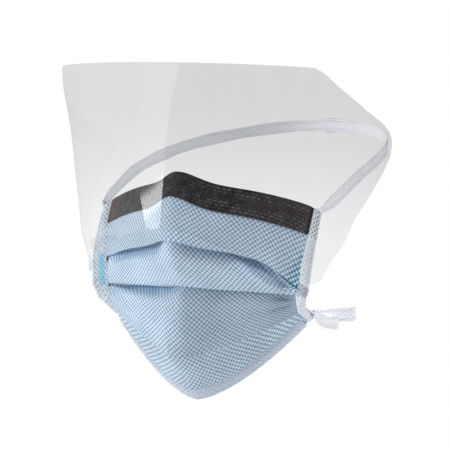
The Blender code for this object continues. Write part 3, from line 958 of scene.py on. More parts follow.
class MeshMaker:
    """Turns grids of points into closed meshes with their maps."""

    @staticmethod
    def link(name: str, vertices: Array, faces: list, cloth: Array, place: Array) -> Piece:
        """Makes an object from points and faces.

        Args:
            name: The object's name.
            vertices: Its points.
            faces: Its faces, as indices of the points.
            cloth: Each point's place on the flat cloth, in metres.
            place: Each point's place on the piece, as shares.

        Returns:
            The object, with faces that point out.
        """
        mesh = bpy.data.meshes.new(name)
        mesh.from_pydata(vertices.tolist(), [], faces)
        form = bmesh.new()
        form.from_mesh(mesh)
        bmesh.ops.recalc_face_normals(form, faces=form.faces)
        if form.calc_volume(signed=True) < 0:
            bmesh.ops.reverse_faces(form, faces=form.faces)
        form.to_mesh(mesh)
        form.free()
        index = np.empty(len(mesh.loops), np.int32)
        mesh.loops.foreach_get("vertex_index", index)
        for map_name, values in ((CLOTH_MAP, cloth), (PLACE_MAP, place)):
            layer = mesh.uv_layers.new(name=map_name)
            layer.uv.foreach_set("vector", np.asarray(values, np.float32).reshape(-1, 2)[index].ravel())
        mesh.shade_smooth()
        mesh.set_sharp_from_angle(angle=math.radians(50))
        piece = bpy.data.objects.new(name, mesh)
        bpy.context.scene.collection.objects.link(piece)
        return piece

    @classmethod
    def shell(cls, name: str, outer: Array, inner: Array, cloth: Array, place: Array,
              inner_cloth: Array | None = None) -> Piece:
        """A closed sheet between two grids.

        Args:
            name: The object's name.
            outer: The outer grid of points.
            inner: The inner one, of the same size.
            cloth: The points' places on the flat cloth.
            place: Their places on the piece.
            inner_cloth: The inner grid's own places on the flat cloth, if they differ.

        Returns:
            The object.
        """
        count = outer.shape[0] * outer.shape[1]
        index = np.arange(count).reshape(outer.shape[:2])
        faces = []
        for grid, turn in ((index, 1), (index + count, -1)):
            quads = np.stack((grid[:-1, :-1], grid[:-1, 1:], grid[1:, 1:], grid[1:, :-1]), axis=-1)
            faces += [tuple(face)[::turn] for face in quads.reshape(-1, 4).tolist()]
        rim = [*index[0, :-1], *index[:-1, -1], *index[-1, :0:-1], *index[:0:-1, 0]]
        for near, far in zip(rim, rim[1:] + rim[:1]):
            faces.append((int(near), int(near) + count, int(far) + count, int(far)))
        vertices = np.concatenate((outer.reshape(-1, 3), inner.reshape(-1, 3)))
        cloth = np.concatenate((cloth, cloth if inner_cloth is None else inner_cloth))
        return cls.link(name, vertices, faces, cloth, np.concatenate((place, place)))

    @classmethod
    def tube(cls, name: str, rings: Array, cloth: Array, place: Array) -> Piece:
        """A solid through equal closed rings, with a quad strip over each end.

        Args:
            name: The object's name.
            rings: The rings' points.
            cloth: The points' places on the flat cloth.
            place: Their places on the piece.

        Returns:
            The object.
        """
        count = rings.shape[1]
        index = np.arange(rings.shape[0] * count).reshape(rings.shape[0], count)
        after = np.roll(index, -1, axis=1)
        quads = np.stack((index[:-1], after[:-1], after[1:], index[1:]), axis=-1)
        faces = [tuple(face) for face in quads.reshape(-1, 4).tolist()]
        for ring in (index[0].tolist(), index[-1].tolist()):
            for i in range(count // 2 - 1):
                faces.append((ring[i], ring[i + 1], ring[count - 2 - i], ring[count - 1 - i]))
        return cls.link(name, rings.reshape(-1, 3), faces, cloth, place)


class Part:
    """What every sub-assembly shares: how a finished piece is dressed and handed to the frame."""

    @staticmethod
    def dress(piece: Piece, material: Paint, slot: Finish, *nodes: str) -> Piece:
        """Gives a piece its finish and lets it stand for its CAD nodes.

        Args:
            piece: The piece.
            material: Its material.
            slot: The record's slot that the finish belongs to; not used.
            *nodes: The CAD nodes that it replaces.

        Returns:
            The piece.
        """
        piece.data.materials.append(material)
        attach(piece, "root")
        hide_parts(*nodes)
        size = " x ".join(f"{value * 1000:.1f}" for value in piece.dimensions)
        log.info("%s: %s mm, %d faces", piece.name, size, len(piece.data.polygons))
        return piece


@dataclass
class ClothBody(Part):
    """The pleated body of the mask, with its folds."""

    sheet: Sheet
    pleat_depth: float = 0.0042
    pressed_share: float = 0.22
    nose_points: int = 5
    groove_points: int = 4
    inner_share: float = 0.8  # how far the inside goes on while the outside turns round a lip
    nose_slide: float = 0.0002  # metres of flat cloth between a lip's lines
    groove_slide: float = 0.001  # the same in the groove behind it
    flat_cut: tuple[float, float] = (0.178, 0.152)

    def pressed(self) -> Array:
        """How much of a pleat's thickness is left in each column: less near the side bonds."""
        edge = smooth_step((1 - np.abs(self.sheet.across)) / 0.30)
        return self.pressed_share + (1 - self.pressed_share) * edge

    def opening(self, pleat: Pleat) -> Array:
        """How far a pleat stands open.

        Args:
            pleat: The pleat.

        Returns:
            Metres for each column.
        """
        side = np.abs(self.sheet.across)
        deep = np.where(self.sheet.across < 0, pleat.right, pleat.left)
        wide = smooth_step((side - 0.02) / 0.16) * smooth_step((0.89 - side) / 0.28)
        return np.maximum(pleat.middle + (deep - pleat.middle) * wide, 0.0004)

    def sunk(self) -> Array:
        """How far the cloth lies behind the sheet: most just below a pleat's lip.

        Returns:
            Metres for each line and column.
        """
        sunk = np.zeros(self.sheet.places.shape[:2])
        for number, pleat in enumerate(PLEATS):
            lines = [i for i, at in enumerate(self.sheet.run_of) if at == number + 1]
            share = np.linspace(0, 1, len(lines) + 1)[1:]
            depth = pleat.lip * self.pressed() + self.opening(pleat)
            sunk[lines] = (1 - smooth_step(share / pleat.reach) ** 0.8)[:, None] * depth[None, :]
        return sunk[..., None]

    def build(self) -> Piece:
        """Makes the mesh: down the outside, round each lip and into the groove behind it.

        Returns:
            The object.
        """
        sheet, sunk = self.sheet, self.sunk()
        outer, inner, cloth, place = [], [], [], []
        insides = sheet.places + sheet.normals * (BODY_WALL + sunk)
        last_lines = [sheet.run_of.index(number + 1) - 1 for number in range(len(PLEATS))]
        groove = range(1, self.groove_points + 1)
        extra = self.nose_points + 2 * self.groove_points

        def lay(outside: Array, line: int, done: int = 0, slide: float = 0.0) -> None:
            """Adds one line to the grids.

            Args:
                outside: Its outer points.
                line: The sheet's line that it belongs to.
                done: How many of a lip's extra lines are behind it.
                slide: How far it lies down the flat cloth from that line.
            """
            outer.append(outside)
            below = insides[min(i + 1, len(insides) - 1)]
            inner.append(insides[i] + (below - insides[i]) * self.inner_share * done / extra)
            cloth.append(sheet.cloth[line] + (0.0, slide))
            place.append(np.stack((sheet.across, np.full(len(sheet.across), sheet.down[line])), axis=-1))

        for i, (points, normals) in enumerate(zip(sheet.places, sheet.normals)):
            if i not in last_lines:
                lay(points + normals * sunk[i], i)
                continue
            pleat = PLEATS[sheet.run_of[i]]
            skin = pleat.lip * self.pressed()[:, None]
            back = skin + self.opening(pleat)[:, None]
            upwards = unit(sheet.places[i - 1] - points)
            lay(points, i)
            for done, turn in enumerate(np.linspace(0, math.pi, self.nose_points + 1)[1:], 1):
                shift = normals * (1 - math.cos(turn)) * skin / 2 - upwards * math.sin(turn) * skin / 2
                lay(points + shift, i, done, self.nose_slide * done)
            for step in groove:
                rise = self.pleat_depth * step / self.groove_points
                done = self.nose_points + step
                lay(points + normals * skin + upwards * rise, i, done, self.groove_slide * done)
            for step in groove:
                rise = self.pleat_depth * (1 - (step - 1) / self.groove_points)
                done = self.nose_points + self.groove_points + step
                lay(points + normals * back + upwards * rise, i + 1, done, -rise)
        grids = [np.array(grid) for grid in (outer, inner, cloth, place)]
        inner_cloth = np.stack((grids[2][..., 0], run_lengths(grids[1])), axis=-1)
        return MeshMaker.shell("blue_body", *grids, inner_cloth)

    def make(self, material: Paint) -> None:
        piece = self.dress(self.build(), material, Finish.BLUE_CLOTH, "mask_body")


@dataclass
class GlareStrip(Part):
    """The black strip over the top of the body."""

    form: ClothForm
    cloth: float = 0.0008
    end_clear: tuple[float, float] = (0.0071, 0.0050)  # at the wearer's right and left
    columns: int = 200
    flat_cut: tuple[float, float] = (0.170, 0.0145)

    def build(self) -> Piece:
        """Makes the mesh on the body's own curve, with round long edges.

        Returns:
            The object.
        """
        right, left = (1 - clear / self.form.half_width for clear in self.end_clear)
        sheet = Sheet(self.form, np.linspace(-right, left, self.columns + 1))
        rows = self.form.rows()
        count = round(rows[1].mid_down / rows[2].mid_down * RUNS[0].steps) + 1
        places, normals = sheet.places[:count], sheet.normals[:count]
        share = np.linspace(0, 1, count)
        swell = np.clip(np.minimum(share, 1 - share) * 10, 0, 1) ** 0.5
        depth = GAP + self.cloth * (0.45 + 0.55 * swell)[:, None, None]
        place = np.stack(np.meshgrid(sheet.across, share), axis=-1)
        grids = (places - normals * depth, places - normals * GAP)
        return MeshMaker.shell("black_strip", *grids, sheet.cloth[:count], place)

    def make(self, material: Paint) -> None:
        piece = self.dress(self.build(), material, Finish.CHARCOAL_CLOTH, "glare_strip")


@dataclass
class Bindings(Part):
    """The white tapes folded over the two side edges and over the hem."""

    sheet: Sheet
    width: float = 0.0056
    hem_width: float = 0.0062
    pleat_wall: float = 0.0017
    pressed_share: float = 0.45
    left_widths: Profile = ((0.0, 0.25, 0.5, 0.70, 1.0), (0.60, 0.70, 1.0, 0.85, 0.62))  # down the edge
    right_widths: Profile = ((0.0, 0.24, 0.32, 0.48, 1.0), (0.85, 1.15, 1.5, 1.85, 1.65))
    hem_widths: Profile = ((-1.0, -0.6, -0.3, 1.0), (0.60, 0.65, 1.0, 1.0))  # across the hem
    steps: int = 110
    hem_steps: int = 200
    leg_points: int = 7
    fold_points: int = 7
    left_cut: tuple[float, float] = (0.0155, 0.0700)  # the tapes' flat sizes
    right_cut: tuple[float, float] = (0.0210, 0.0700)
    hem_cut: tuple[float, float] = (0.0160, 0.1560)

    def side(self, side: int) -> Piece:
        """Makes one side's tape, from the top corner to the hem.

        Args:
            side: 1 for the wearer's left, -1 for the right.

        Returns:
            The object.
        """
        places, normals = self.sheet.places[:, ::-side], self.sheet.normals[:, ::-side]
        lengths = run_lengths(places[:, 0])
        profile = self.left_widths if side > 0 else self.right_widths
        widths = self.width * np.interp(lengths / lengths[-1], *profile)
        legs, facings = [], []
        for line, facing, width in zip(places, normals, widths):
            wanted = np.linspace(width, 0.0, self.leg_points)
            legs.append(resampled(line, run_lengths(line), wanted))
            facings.append(resampled(facing, run_lengths(line), wanted))
        wanted = np.linspace(0, lengths[-1], self.steps + 1)
        legs, facings = (
            np.stack([resampled(column, lengths, wanted) for column in np.swapaxes(values, 0, 1)], axis=1)
            for values in (legs, facings)
        )
        wall = BODY_WALL + self.pressed_share * self.pleat_wall
        lines = [self.wrapped(leg, facing, wall) for leg, facing in zip(legs, unit(facings))]
        return self.tape(f"side_tape_{dict(SIDES)[side]}", lines, wanted)

    def hem(self) -> Piece:
        """Makes the tape over the hem, from one side tape to the other.

        Returns:
            The object.
        """
        sheet = self.sheet
        half = sheet.form.half_width * sheet.form.rows()[-1].end_out
        right, left = (
            1 - (self.width * widths[-1] + 2 * GAP) / half
            for _, widths in (self.right_widths, self.left_widths)
        )
        across = np.linspace(-right, left, self.hem_steps + 1)
        places, normals = (
            np.stack([resampled(line, sheet.across, across) for line in grid])
            for grid in (sheet.places, sheet.normals)
        )
        lines = []
        for i, place in enumerate(across):
            column, turned = places[::-1, i], normals[::-1, i]
            wanted = np.linspace(0, self.hem_width * np.interp(place, *self.hem_widths), self.leg_points)
            leg, facing = (resampled(values, run_lengths(column), wanted) for values in (column, turned))
            lines.append(self.wrapped(leg[::-1], unit(facing)[::-1], BODY_WALL))
        return self.tape("hem_tape", lines, run_lengths(places[-1]))

    def wrapped(self, leg: Array, facing: Array, wall: float) -> tuple[Array, Array]:
        """A tape's outer and inner line, folded over an edge and following the cloth's own curve.

        Args:
            leg: The cloth's points from the front leg's tip to the edge.
            facing: Its directions towards the face there.
            wall: The cloth's thickness.

        Returns:
            The outer line and the inner line, from the front leg's tip to the back leg's.
        """
        below = unit(leg[-1] - leg[-2])
        turns = np.linspace(-math.pi / 2, math.pi / 2, self.fold_points + 2)[1:-1, None]
        middle = wall / 2
        lines = []
        for skin in (GAP + TAPE_CLOTH, GAP):
            depth = np.full((len(leg), 1), skin)
            depth[:3, 0] *= (0.10, 0.45, 1.0)
            deep = middle + (middle + skin) * np.sin(turns)
            round_edge = below * skin * np.cos(turns) + facing[-1] * deep
            back = leg + facing * (wall + depth)
            lines.append(np.concatenate((leg - facing * depth, leg[-1] + round_edge, back[::-1])))
        return lines[0], lines[1]

    @staticmethod
    def tape(name: str, lines: list[tuple[Array, Array]], along: Array) -> Piece:
        """Joins a tape's lines into a closed shell with its maps.

        Args:
            name: The object's name.
            lines: Its outer and inner lines.
            along: How far along the tape each one is.

        Returns:
            The object.
        """
        outer, inner = (np.array(grid) for grid in zip(*lines))
        width = run_lengths(outer.transpose(1, 0, 2)).T
        lengths = np.broadcast_to(along[:, None], width.shape)
        place = np.stack((width / width[:, -1:], lengths / along[-1]), axis=-1)
        return MeshMaker.shell(name, outer, inner, np.stack((width, lengths), axis=-1), place)

    def make(self, materials: dict[str, Paint]) -> list[Piece]:
        """Builds and dresses the three tapes.

        Args:
            materials: The materials, by the piece that they dress.

        Returns:
            The tapes, the side ones first.
        """
        plans = (
            (self.side(1), "left_tape", "side_binding_left", self.left_cut),
            (self.side(-1), "right_tape", "side_binding_right", self.right_cut),
            (self.hem(), "hem_tape", "bottom_binding", self.hem_cut),
        )
        for piece, finish, node, flat in plans:
            self.dress(piece, materials[finish], Finish.WHITE_BINDING, node)
        return [plan[0] for plan in plans]


class Stop(NamedTuple):
    """One point of a tie's route on the wearer's left, mirrored for the other side."""

    out: float  # share of the loop's half breadth
    back: float  # share of the way from the mask's corner to the loop's back
    along: float  # share of the loop's rise or fall


@dataclass(frozen=True)
class Loop:
    """One tie as a whole loop, with its knot behind the head."""

    name: str
    node: str
    knot_name: str
    knot_node: str
    row: int  # the cloth's line that it starts at
    clear: float  # metres from the side tape
    sewn_in: float  # metres that its end reaches along the side tape
    lift: float  # share of the tie's width that its start sits above the corner
    half_breadth: float
    back: float
    rise: float
    route: tuple[Stop, ...]


CROWN_LOOP = Loop(
    "head_tie", "crown_tie", "head_knot", "crown_knot", 0, 0.0002, 0.0016, 0.0, 0.0755, 0.184, 0.054,
    (
        Stop(1.000, 0.10, 0.14),
        Stop(1.015, 0.26, 0.37),
        Stop(0.990, 0.45, 0.56),
        Stop(0.890, 0.65, 0.73),
        Stop(0.670, 0.84, 0.87),
        Stop(0.360, 0.965, 0.97),
        Stop(0.000, 1.000, 1.00),
    ),
)
NAPE_LOOP = Loop(
    "neck_tie", "nape_tie", "neck_knot", "nape_knot", -1, 0.0001, 0.0045, 0.15, 0.0520, 0.145, -0.009,
    (
        Stop(1.280, 0.10, 0.30),
        Stop(1.140, 0.30, 0.65),
        Stop(1.010, 0.52, 0.90),
        Stop(0.860, 0.75, 1.00),
        Stop(0.560, 0.93, 1.00),
        Stop(0.000, 1.000, 1.00),
    ),
)


@dataclass
class Ties(Part):
    """The two flat ties with their knots, and the bow behind the neck."""

    form: ClothForm
    width: float = 0.0080
    cloth: float = 0.0010
    tip: float = 0.45  # share of the width where a tie is sewn in
    wave: float = 0.0003  # metres that a tie's edges wander
    knot: Triple = (0.013, 0.007, 0.010)
    bow_reach: float = 0.040
    bow_height: float = 0.014
    bow_standoff: float = 0.006
    steps: int = 300
    bow_steps: int = 90

    def corner(self, loop: Loop) -> Array:
        """Where a tie leaves the side tape, on the wearer's left.

        Args:
            loop: The tie's plan.

        Returns:
            The point.
        """
        near, edge = self.form.line(self.form.rows()[loop.row], np.array((0.93, 1.0)))
        outwards = unit((edge - near) * (1, 1, 0))
        return edge + outwards * (TAPE_CLOTH + loop.clear) + UP * loop.lift * self.width

    def route(self, loop: Loop) -> Array:
        """The way that a tie takes, from the corner on the wearer's left to the other one.

        Args:
            loop: The tie's plan.

        Returns:
            The whole loop's points.
        """
        corner = self.corner(loop)
        start = corner * (0, 1, 1)
        reach = np.array((loop.half_breadth, loop.back - corner[1], loop.rise))
        left = [start + reach * (stop.out, stop.back, stop.along) for stop in loop.route]
        left.insert(0, corner - unit(left[0] - corner) * loop.sewn_in)
        return smooth_route(left + [point * (-1, 1, 1) for point in left[-2::-1]], self.steps)

    def band(self, name: str, places: Array, width: float, wave: float, tip: float) -> Piece:
        """A flat band along a route, upright, a little uneven and with round edges.

        Args:
            name: The object's name.
            places: The route's points.
            width: The band's width.
            wave: How far its edges wander, in metres.
            tip: Share of the width that is left at the two ends.

        Returns:
            The object.
        """
        ways = unit(np.gradient(places, axis=0))
        outwards = unit(np.cross(ways, UP))
        upwards = np.cross(outwards, ways)
        lengths = run_lengths(places)[:, None]
        ends = smooth_step(np.minimum(lengths, lengths[-1] - lengths) / 0.012)
        sway = wave * ends * (np.sin(lengths * 95) + 0.6 * np.sin(lengths * 213 + 1.3))
        half = width / 2 * (tip + (1 - tip) * ends)
        half = half - wave * ends * (0.5 + 0.5 * np.sin(lengths * 151 + 0.4))
        edge = np.array((-1.0, -0.97, -0.88, -0.62, -0.56, 0.0, 0.56, 0.62, 0.88, 0.97, 1.0))
        skin = np.array((0.0, 0.32, 0.5, 0.5, 0.42, 0.44, 0.42, 0.5, 0.5, 0.32, 0.0)) * self.cloth
        shares, depths = np.concatenate((edge, edge[::-1])), np.concatenate((skin, -skin[::-1]))
        base = (places + outwards * self.cloth / 2)[:, None]
        high = upwards[:, None] * (half * shares)[..., None]
        rings = base + high + outwards[:, None] * (depths + sway * shares * 0.35)[..., None]
        turned = np.repeat((0.0, width), len(edge))
        cloth = np.stack(np.broadcast_arrays(half * shares + turned, lengths), axis=-1)
        place = np.stack(np.broadcast_arrays(shares, lengths / lengths[-1]), axis=-1)
        return MeshMaker.tube(name, rings, cloth, place)

    def tied_knot(self, name: str, back: float, level: float) -> Piece:
        """A flat half knot: a rounded block with slanting turns of tape pressed into it.

        Args:
            name: The object's name.
            back: How far back its tie's loop reaches.
            level: Its height.

        Returns:
            The object.
        """
        width, depth, height = self.knot
        seat = np.array((0.0, back + self.cloth + GAP + depth / 2, level))
        levels, turns = 18, 48
        rise = np.sin(math.pi * (np.arange(levels + 1) / levels - 0.5))[:, None]
        angle = math.tau * np.arange(turns) / turns
        x, y = (np.copysign(np.abs(wave) ** 0.7, wave) for wave in (np.cos(angle), np.sin(angle)))
        slim = np.maximum(1 - np.abs(rise) ** 3.2, 0.02) ** 0.5
        wrap = 1 - 0.07 * np.abs(np.sin(1.5 * (angle + 2.2 * rise))) ** 0.5
        pinch = 1 - 0.10 * np.exp(-((x / 0.28) ** 2)) * (y > 0)
        block = (x * width / 2 * slim * wrap, y * depth / 2 * slim * pinch * wrap, rise * height / 2 * wrap)
        cloth = np.stack(np.broadcast_arrays(angle * width / 4, rise * height / 2), axis=-1)
        place = np.stack(np.broadcast_arrays(rise, np.arange(turns) / turns), axis=-1)
        return MeshMaker.tube(name, seat + np.stack(block, axis=-1), cloth, place)

    def bow(self, name: str, side: int, level: float) -> Piece:
        """One turned loop of the bow behind the neck.

        Args:
            name: The object's name.
            side: 1 for the wearer's left, -1 for the right.
            level: Its height at the knot.

        Returns:
            The object.
        """
        width, depth, _ = self.knot
        start = width / 2 + GAP
        middle = NAPE_LOOP.back + self.cloth + GAP + depth / 2
        thick = depth * 0.22
        stretch = self.bow_reach - start
        stops = (
            (start, middle - thick, 0.0),
            (start + 0.35 * stretch, middle - 2 * thick, 0.10),
            (start + 0.75 * stretch, middle - 2 * thick, 0.20),
            (self.bow_reach, middle + self.bow_standoff * 0.3, 0.25),
            (start + 0.78 * stretch, middle + self.bow_standoff, 0.20),
            (start + 0.38 * stretch, middle + self.bow_standoff * 0.8, 0.10),
            (start, middle + thick, 0.0),
        )
        route = [np.array((side * x, y, level + lift * self.bow_height)) for x, y, lift in stops]
        return self.band(name, smooth_route(route[::side], self.bow_steps), self.bow_height * 0.62, 0.0, 1.0)

    def make(self, material: Paint) -> None:
        """Builds and dresses both ties, their knots and the bow.

        Args:
            material: The ties' material.
        """
        plans = []
        for loop in (CROWN_LOOP, NAPE_LOOP):
            level = self.corner(loop)[2] + loop.rise
            tie = self.band(loop.name, self.route(loop), self.width, self.wave, self.tip)
            plans += [(tie, loop.node), (self.tied_knot(loop.knot_name, loop.back, level), loop.knot_node)]
        plans += [(self.bow(f"bow_{word}", side, level), f"nape_bow_{word}") for side, word in SIDES]
        for piece, node in plans:
            self.dress(piece, material, Finish.WHITE_TIE, node)


class Corner(NamedTuple):
    """One point of the eye shield's outline, from straight ahead to a wing's tip."""

    angle: float  # share of the wing's angle
    height: float  # share of the top above the nose, or of the foot below it


UPPER_OUTLINE = (
    Corner(0.000, 1.000), Corner(0.490, 1.000), Corner(0.520, 0.965), Corner(0.577, 0.857),
    Corner(0.642, 0.756), Corner(0.726, 0.639), Corner(0.837, 0.538), Corner(0.930, 0.454),
    Corner(0.980, 0.385), Corner(1.000, 0.325),
)
LOWER_OUTLINE = (
    Corner(0.000, 0.535), Corner(0.093, 0.555), Corner(0.149, 0.590), Corner(0.195, 0.640),
    Corner(0.250, 0.680), Corner(0.326, 0.735), Corner(0.410, 0.820), Corner(0.500, 0.900),
    Corner(0.558, 0.945), Corner(0.640, 1.000), Corner(0.690, 0.960), Corner(0.718, 0.800),
    Corner(0.790, 0.377), Corner(0.885, 0.098), Corner(0.970, -0.110), Corner(1.000, -0.200),
)


@dataclass
class EyeShield(Part):
    """The clear film round the front and both sides."""

    tapes: Sequence[Piece]
    film: float = 0.0005
    gap: float = 0.0004  # between the film and the side tapes
    axis_back: float = 0.0555
    radius: float = 0.0905
    flare: float = 0.138
    top: float = 0.0595
    foot: float = 0.0610
    wing_flare: float = 0.003
    wing_angle: float = math.radians(107.5)
    foot_angle: float = math.radians(70)
    edge_turn: float = math.radians(5)
    right_cut: float = 1.045
    right_draw: float = 0.0014
    top_spread: float = 1.7
    ripple: float = 0.00022
    columns: int = 420
    lines: int = 56

    def outline(self, corners: Sequence[Corner], angles: Array, soft: float) -> Array:
        """The outline's shares at some angles, with its corners softened.

        Args:
            corners: The outline.
            angles: Angles from straight ahead.
            soft: How far the softening reaches, as a share of the wing's angle.

        Returns:
            One share for each angle.
        """
        taps = np.linspace(-soft, soft, 9)
        weights = np.cos(taps / soft * math.pi / 2)
        places = np.abs(angles)[:, None] / self.wing_angle + taps[None, :]
        cut = np.where(angles < 0, self.right_cut, 1.0)[:, None]
        return (np.interp(np.abs(places) * cut, *zip(*corners)) * weights).sum(axis=1) / weights.sum()

    def build(self) -> Piece:
        """Makes the film as a closed thin shell, drawn in over the side tapes at its foot.

        Returns:
            The object.
        """
        angles = self.edge_turn + self.wing_angle * np.linspace(-1, 1, self.columns + 1)
        lower_turn = self.edge_turn * np.abs(1 - np.abs(angles) / self.foot_angle)
        lower = -self.outline(LOWER_OUTLINE, angles - lower_turn, 0.014) * self.foot
        upper = self.outline(UPPER_OUTLINE, angles - self.edge_turn, 0.008) * self.top
        share = np.linspace(0, 1, self.lines + 1)[:, None]
        heights = upper + (lower - upper) * share
        cone = self.radius + self.flare * heights + self.wing_flare * (np.abs(angles) / self.wing_angle) ** 4
        spread = 1 - self.top_spread * smooth_step((heights / self.top - 0.3) / 0.7)
        cone = cone - self.right_draw * smooth_step(-angles / math.radians(60)) * spread
        drawn = smooth_step((-heights - 0.6 * self.foot) / (0.34 * self.foot))
        reach = cone + (self.seat() - cone) * drawn
        reach = reach + self.ripple * np.sin(angles * 23 + 1.0) * smooth_step((heights - 0.02) / 0.04)
        way = np.stack((np.sin(angles), -np.cos(angles), np.zeros(len(angles))), axis=-1)
        grids = []
        for skin in (self.film, 0.0):
            grid = way * (reach + skin)[..., None]
            grid[..., 1] += self.axis_back
            grid[..., 2] = heights
            grids.append(grid)
        cloth = np.stack(np.broadcast_arrays(angles * self.radius, heights), axis=-1)
        place = np.stack(np.broadcast_arrays(angles / self.wing_angle, share), axis=-1)
        return MeshMaker.shell("eye_shield", *grids, cloth, place)

    def seat(self) -> float:
        """The radius that just clears the side tapes where the film is drawn in.

        Returns:
            Metres from the film's axis.
        """
        places = [vertex.co for tape in self.tapes for vertex in tape.data.vertices]
        near = [(x, y) for x, y, z in places if -self.foot - 0.004 < z < -0.6 * self.foot]
        return max(math.hypot(x, y - self.axis_back) for x, y in near) + self.gap

    def make(self, material: Paint) -> None:
        """Builds and dresses the film."""
        self.dress(self.build(), material, Finish.CLEAR_FILM, "visor")


class Lamp(NamedTuple):
    """A square soft light."""

    name: str
    place: Triple
    aim: Triple  # the point that it faces
    size: float  # metres
    power: float  # watts


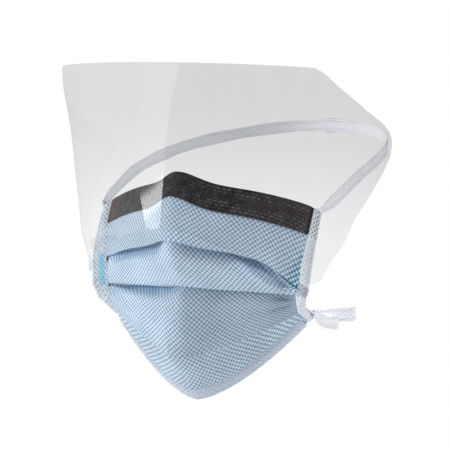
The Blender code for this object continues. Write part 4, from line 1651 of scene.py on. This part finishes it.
@dataclass(frozen=True)
class Studio:
    """The camera at the photograph's angle, the soft lights and the pale floor."""

    azimuth: float = math.radians(30)
    elevation: float = math.radians(1)
    roll: float = math.radians(2)
    distance: float = 1.150
    pixel: float = 0.00057  # metres in one pixel of the photograph, at the nose
    picture: int = 450
    nose: tuple[float, float] = (178.0, 172.0)  # the nose seat's pixel in the photograph
    sensor: float = 36.0
    floor_level: float = -0.34
    floor_size: float = 6.0
    lit: Triple = (0.27, 0.28, 0.30)  # the room in the light
    mirrored: Triple = (0.06, 0.06, 0.065)  # the room in reflections
    lamps: tuple[Lamp, ...] = (
        Lamp("key", (-1.35, -0.95, 0.42), (0.0, 0.0, -0.05), 0.6, 21.5),
        Lamp("top", (-0.30, -0.55, 1.45), (0.0, 0.0, -0.05), 0.5, 11.0),
        Lamp("side", (1.6, 0.45, 0.35), (0.0, 0.02, -0.05), 0.8, 11.0),
    )
    tall_panel: tuple[Triple, ...] = (
        (-0.442, -0.668, -0.230), (-0.284, -0.745, -0.241),
        (-0.509, -0.630, -0.183), (-0.238, -0.767, -0.204),
        (-0.482, -0.662, -0.125), (-0.168, -0.797, -0.146),
        (-0.442, -0.696, -0.020), (-0.080, -0.825, -0.035),
    )
    dim_panel: tuple[Triple, ...] = (
        (-1.20, 1.60, -0.33), (-1.20, 1.60, 0.30),
        (-1.30, 0.00, -0.33), (-1.30, 0.00, 0.30),
        (-0.60, -0.95, -0.33), (-0.60, -0.95, 0.30),
    )

    def camera(self) -> None:
        """Makes the camera and sets it as the scene's own."""
        ahead, aside = math.cos(self.azimuth), math.sin(self.azimuth)
        flat = math.cos(self.elevation)
        back = Vector((aside * flat, -ahead * flat, math.sin(self.elevation)))
        right = Vector((ahead, aside, 0.0))
        up = back.cross(right)
        cosine, sine = math.cos(self.roll), math.sin(self.roll)
        right, up = right * cosine + up * sine, up * cosine - right * sine
        across, down = (self.picture / 2 - place for place in self.nose)
        data = bpy.data.cameras.new("photo_camera")
        data.sensor_width = self.sensor
        data.lens = self.sensor * self.distance / self.pixel / self.picture
        data.clip_end = 100.0
        camera = bpy.data.objects.new("photo_camera", data)
        place = right * across * self.pixel - up * down * self.pixel + back * self.distance
        camera.matrix_world = Matrix.Translation(place) @ Matrix((right, up, back)).transposed().to_4x4()
        bpy.context.scene.collection.objects.link(camera)
        bpy.context.scene.camera = camera

    @staticmethod
    def softbox(lamp: Lamp) -> None:
        """Adds an area light.

        Args:
            lamp: Its plan.
        """
        data = bpy.data.lights.new(lamp.name, "AREA")
        data.shape = "RECTANGLE"
        data.size = data.size_y = lamp.size
        data.energy = lamp.power
        light = bpy.data.objects.new(lamp.name, data)
        light.location = lamp.place
        light.rotation_mode = "QUATERNION"
        light.rotation_quaternion = (Vector(lamp.place) - Vector(lamp.aim)).to_track_quat("Z", "Y")
        bpy.context.scene.collection.objects.link(light)

    def world(self) -> None:
        """White where the camera looks, and a soft grey room in the light and the reflections."""
        world = bpy.data.worlds.new("studio")
        world.use_nodes = True
        bpy.context.scene.world = world
        graph = Graph(world.node_tree)
        path = graph.add("LightPath").outputs
        colour = graph.mix(path["Is Camera Ray"], self.lit, WHITE)
        colour = graph.mix(path["Is Glossy Ray"], colour, self.mirrored)
        graph.feed(world.node_tree.nodes["Background"].inputs["Color"], colour)

    @staticmethod
    def stage(name: str, corners: Sequence[Triple], material: Paint) -> Piece:
        """Adds a strip of quads that belongs to the studio.

        Args:
            name: The object's name.
            corners: Its points, left and right in turn.
            material: Its material.

        Returns:
            The object.
        """
        mesh = bpy.data.meshes.new(name)
        faces = [(i, i + 1, i + 3, i + 2) for i in range(0, len(corners) - 2, 2)]
        mesh.from_pydata(corners, [], faces)
        mesh.materials.append(material)
        piece = bpy.data.objects.new(name, mesh)
        bpy.context.scene.collection.objects.link(piece)
        return piece

    def make(self, materials: dict[str, Paint]) -> None:
        """Sets up the camera, the world, the lights, the panels that only reflections see and the floor.

        Args:
            materials: The materials, by the piece that they dress.
        """
        self.camera()
        self.world()
        for lamp in self.lamps:
            self.softbox(lamp)
        for name, corners in (("softbox", self.tall_panel), ("side_wall", self.dim_panel)):
            panel = self.stage(name, corners, materials[name])
            for path in ("camera", "diffuse", "transmission", "shadow", "volume_scatter"):
                setattr(panel, f"visible_{path}", False)
        ends = (-self.floor_size, self.floor_size)
        floor = [(x, y, self.floor_level) for y in ends for x in ends]
        self.stage("floor", floor, materials["floor"])
        bpy.context.scene.view_settings.view_transform = "Standard"


def finishes() -> dict[str, Paint]:
    """Makes the shared node groups and every material.

    Returns:
        The materials, by the piece that they dress.
    """
    groups = {effect.name: effect.build() for effect in (BondLattice(), FibreWeb())}
    right_tape = WhiteTape(
        "right_tape",
        ground=(0.55, 0.61, 0.66),
        point=(0.13, 0.17, 0.23),
        strip_share=0.235,
        bar_at=(0.485, 0.71),
    )
    plans = {
        "body": BlueCloth(),
        "strip": CharcoalCloth(),
        "left_tape": WhiteTape("left_tape", strip_share=0.235, patch_at=(0.615, 0.70)),
        "right_tape": right_tape,
        "hem_tape": WhiteTape("hem_tape", ground=(0.50, 0.55, 0.62), point=(0.24, 0.32, 0.44)),
        "tie": WhiteTie(),
        "film": ClearFilm(),
        "floor": PaleFloor(),
        "softbox": SoftboxFace(),
        "side_wall": SoftboxFace("side_wall", band=0.7, above=0.7, below=0.7),
    }
    return {piece: plan.build(groups) for piece, plan in plans.items()}


def main() -> None:
    """Builds the studio and every piece of the mask, in order."""
    logging.basicConfig(level=logging.INFO, format="%(name)s: %(message)s")
    materials = finishes()
    Studio().make(materials)
    low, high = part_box("mask_body")
    form = ClothForm(half_width=high[0], open_height=-low[2])
    sheet = Sheet(form, np.linspace(-1, 1, 169))
    ClothBody(sheet).make(materials["body"])
    GlareStrip(form).make(materials["strip"])
    tapes = Bindings(sheet).make(materials)
    Ties(form).make(materials["tie"])
    EyeShield(tapes[:2]).make(materials["film"])


if __name__ == "__main__":
    main()
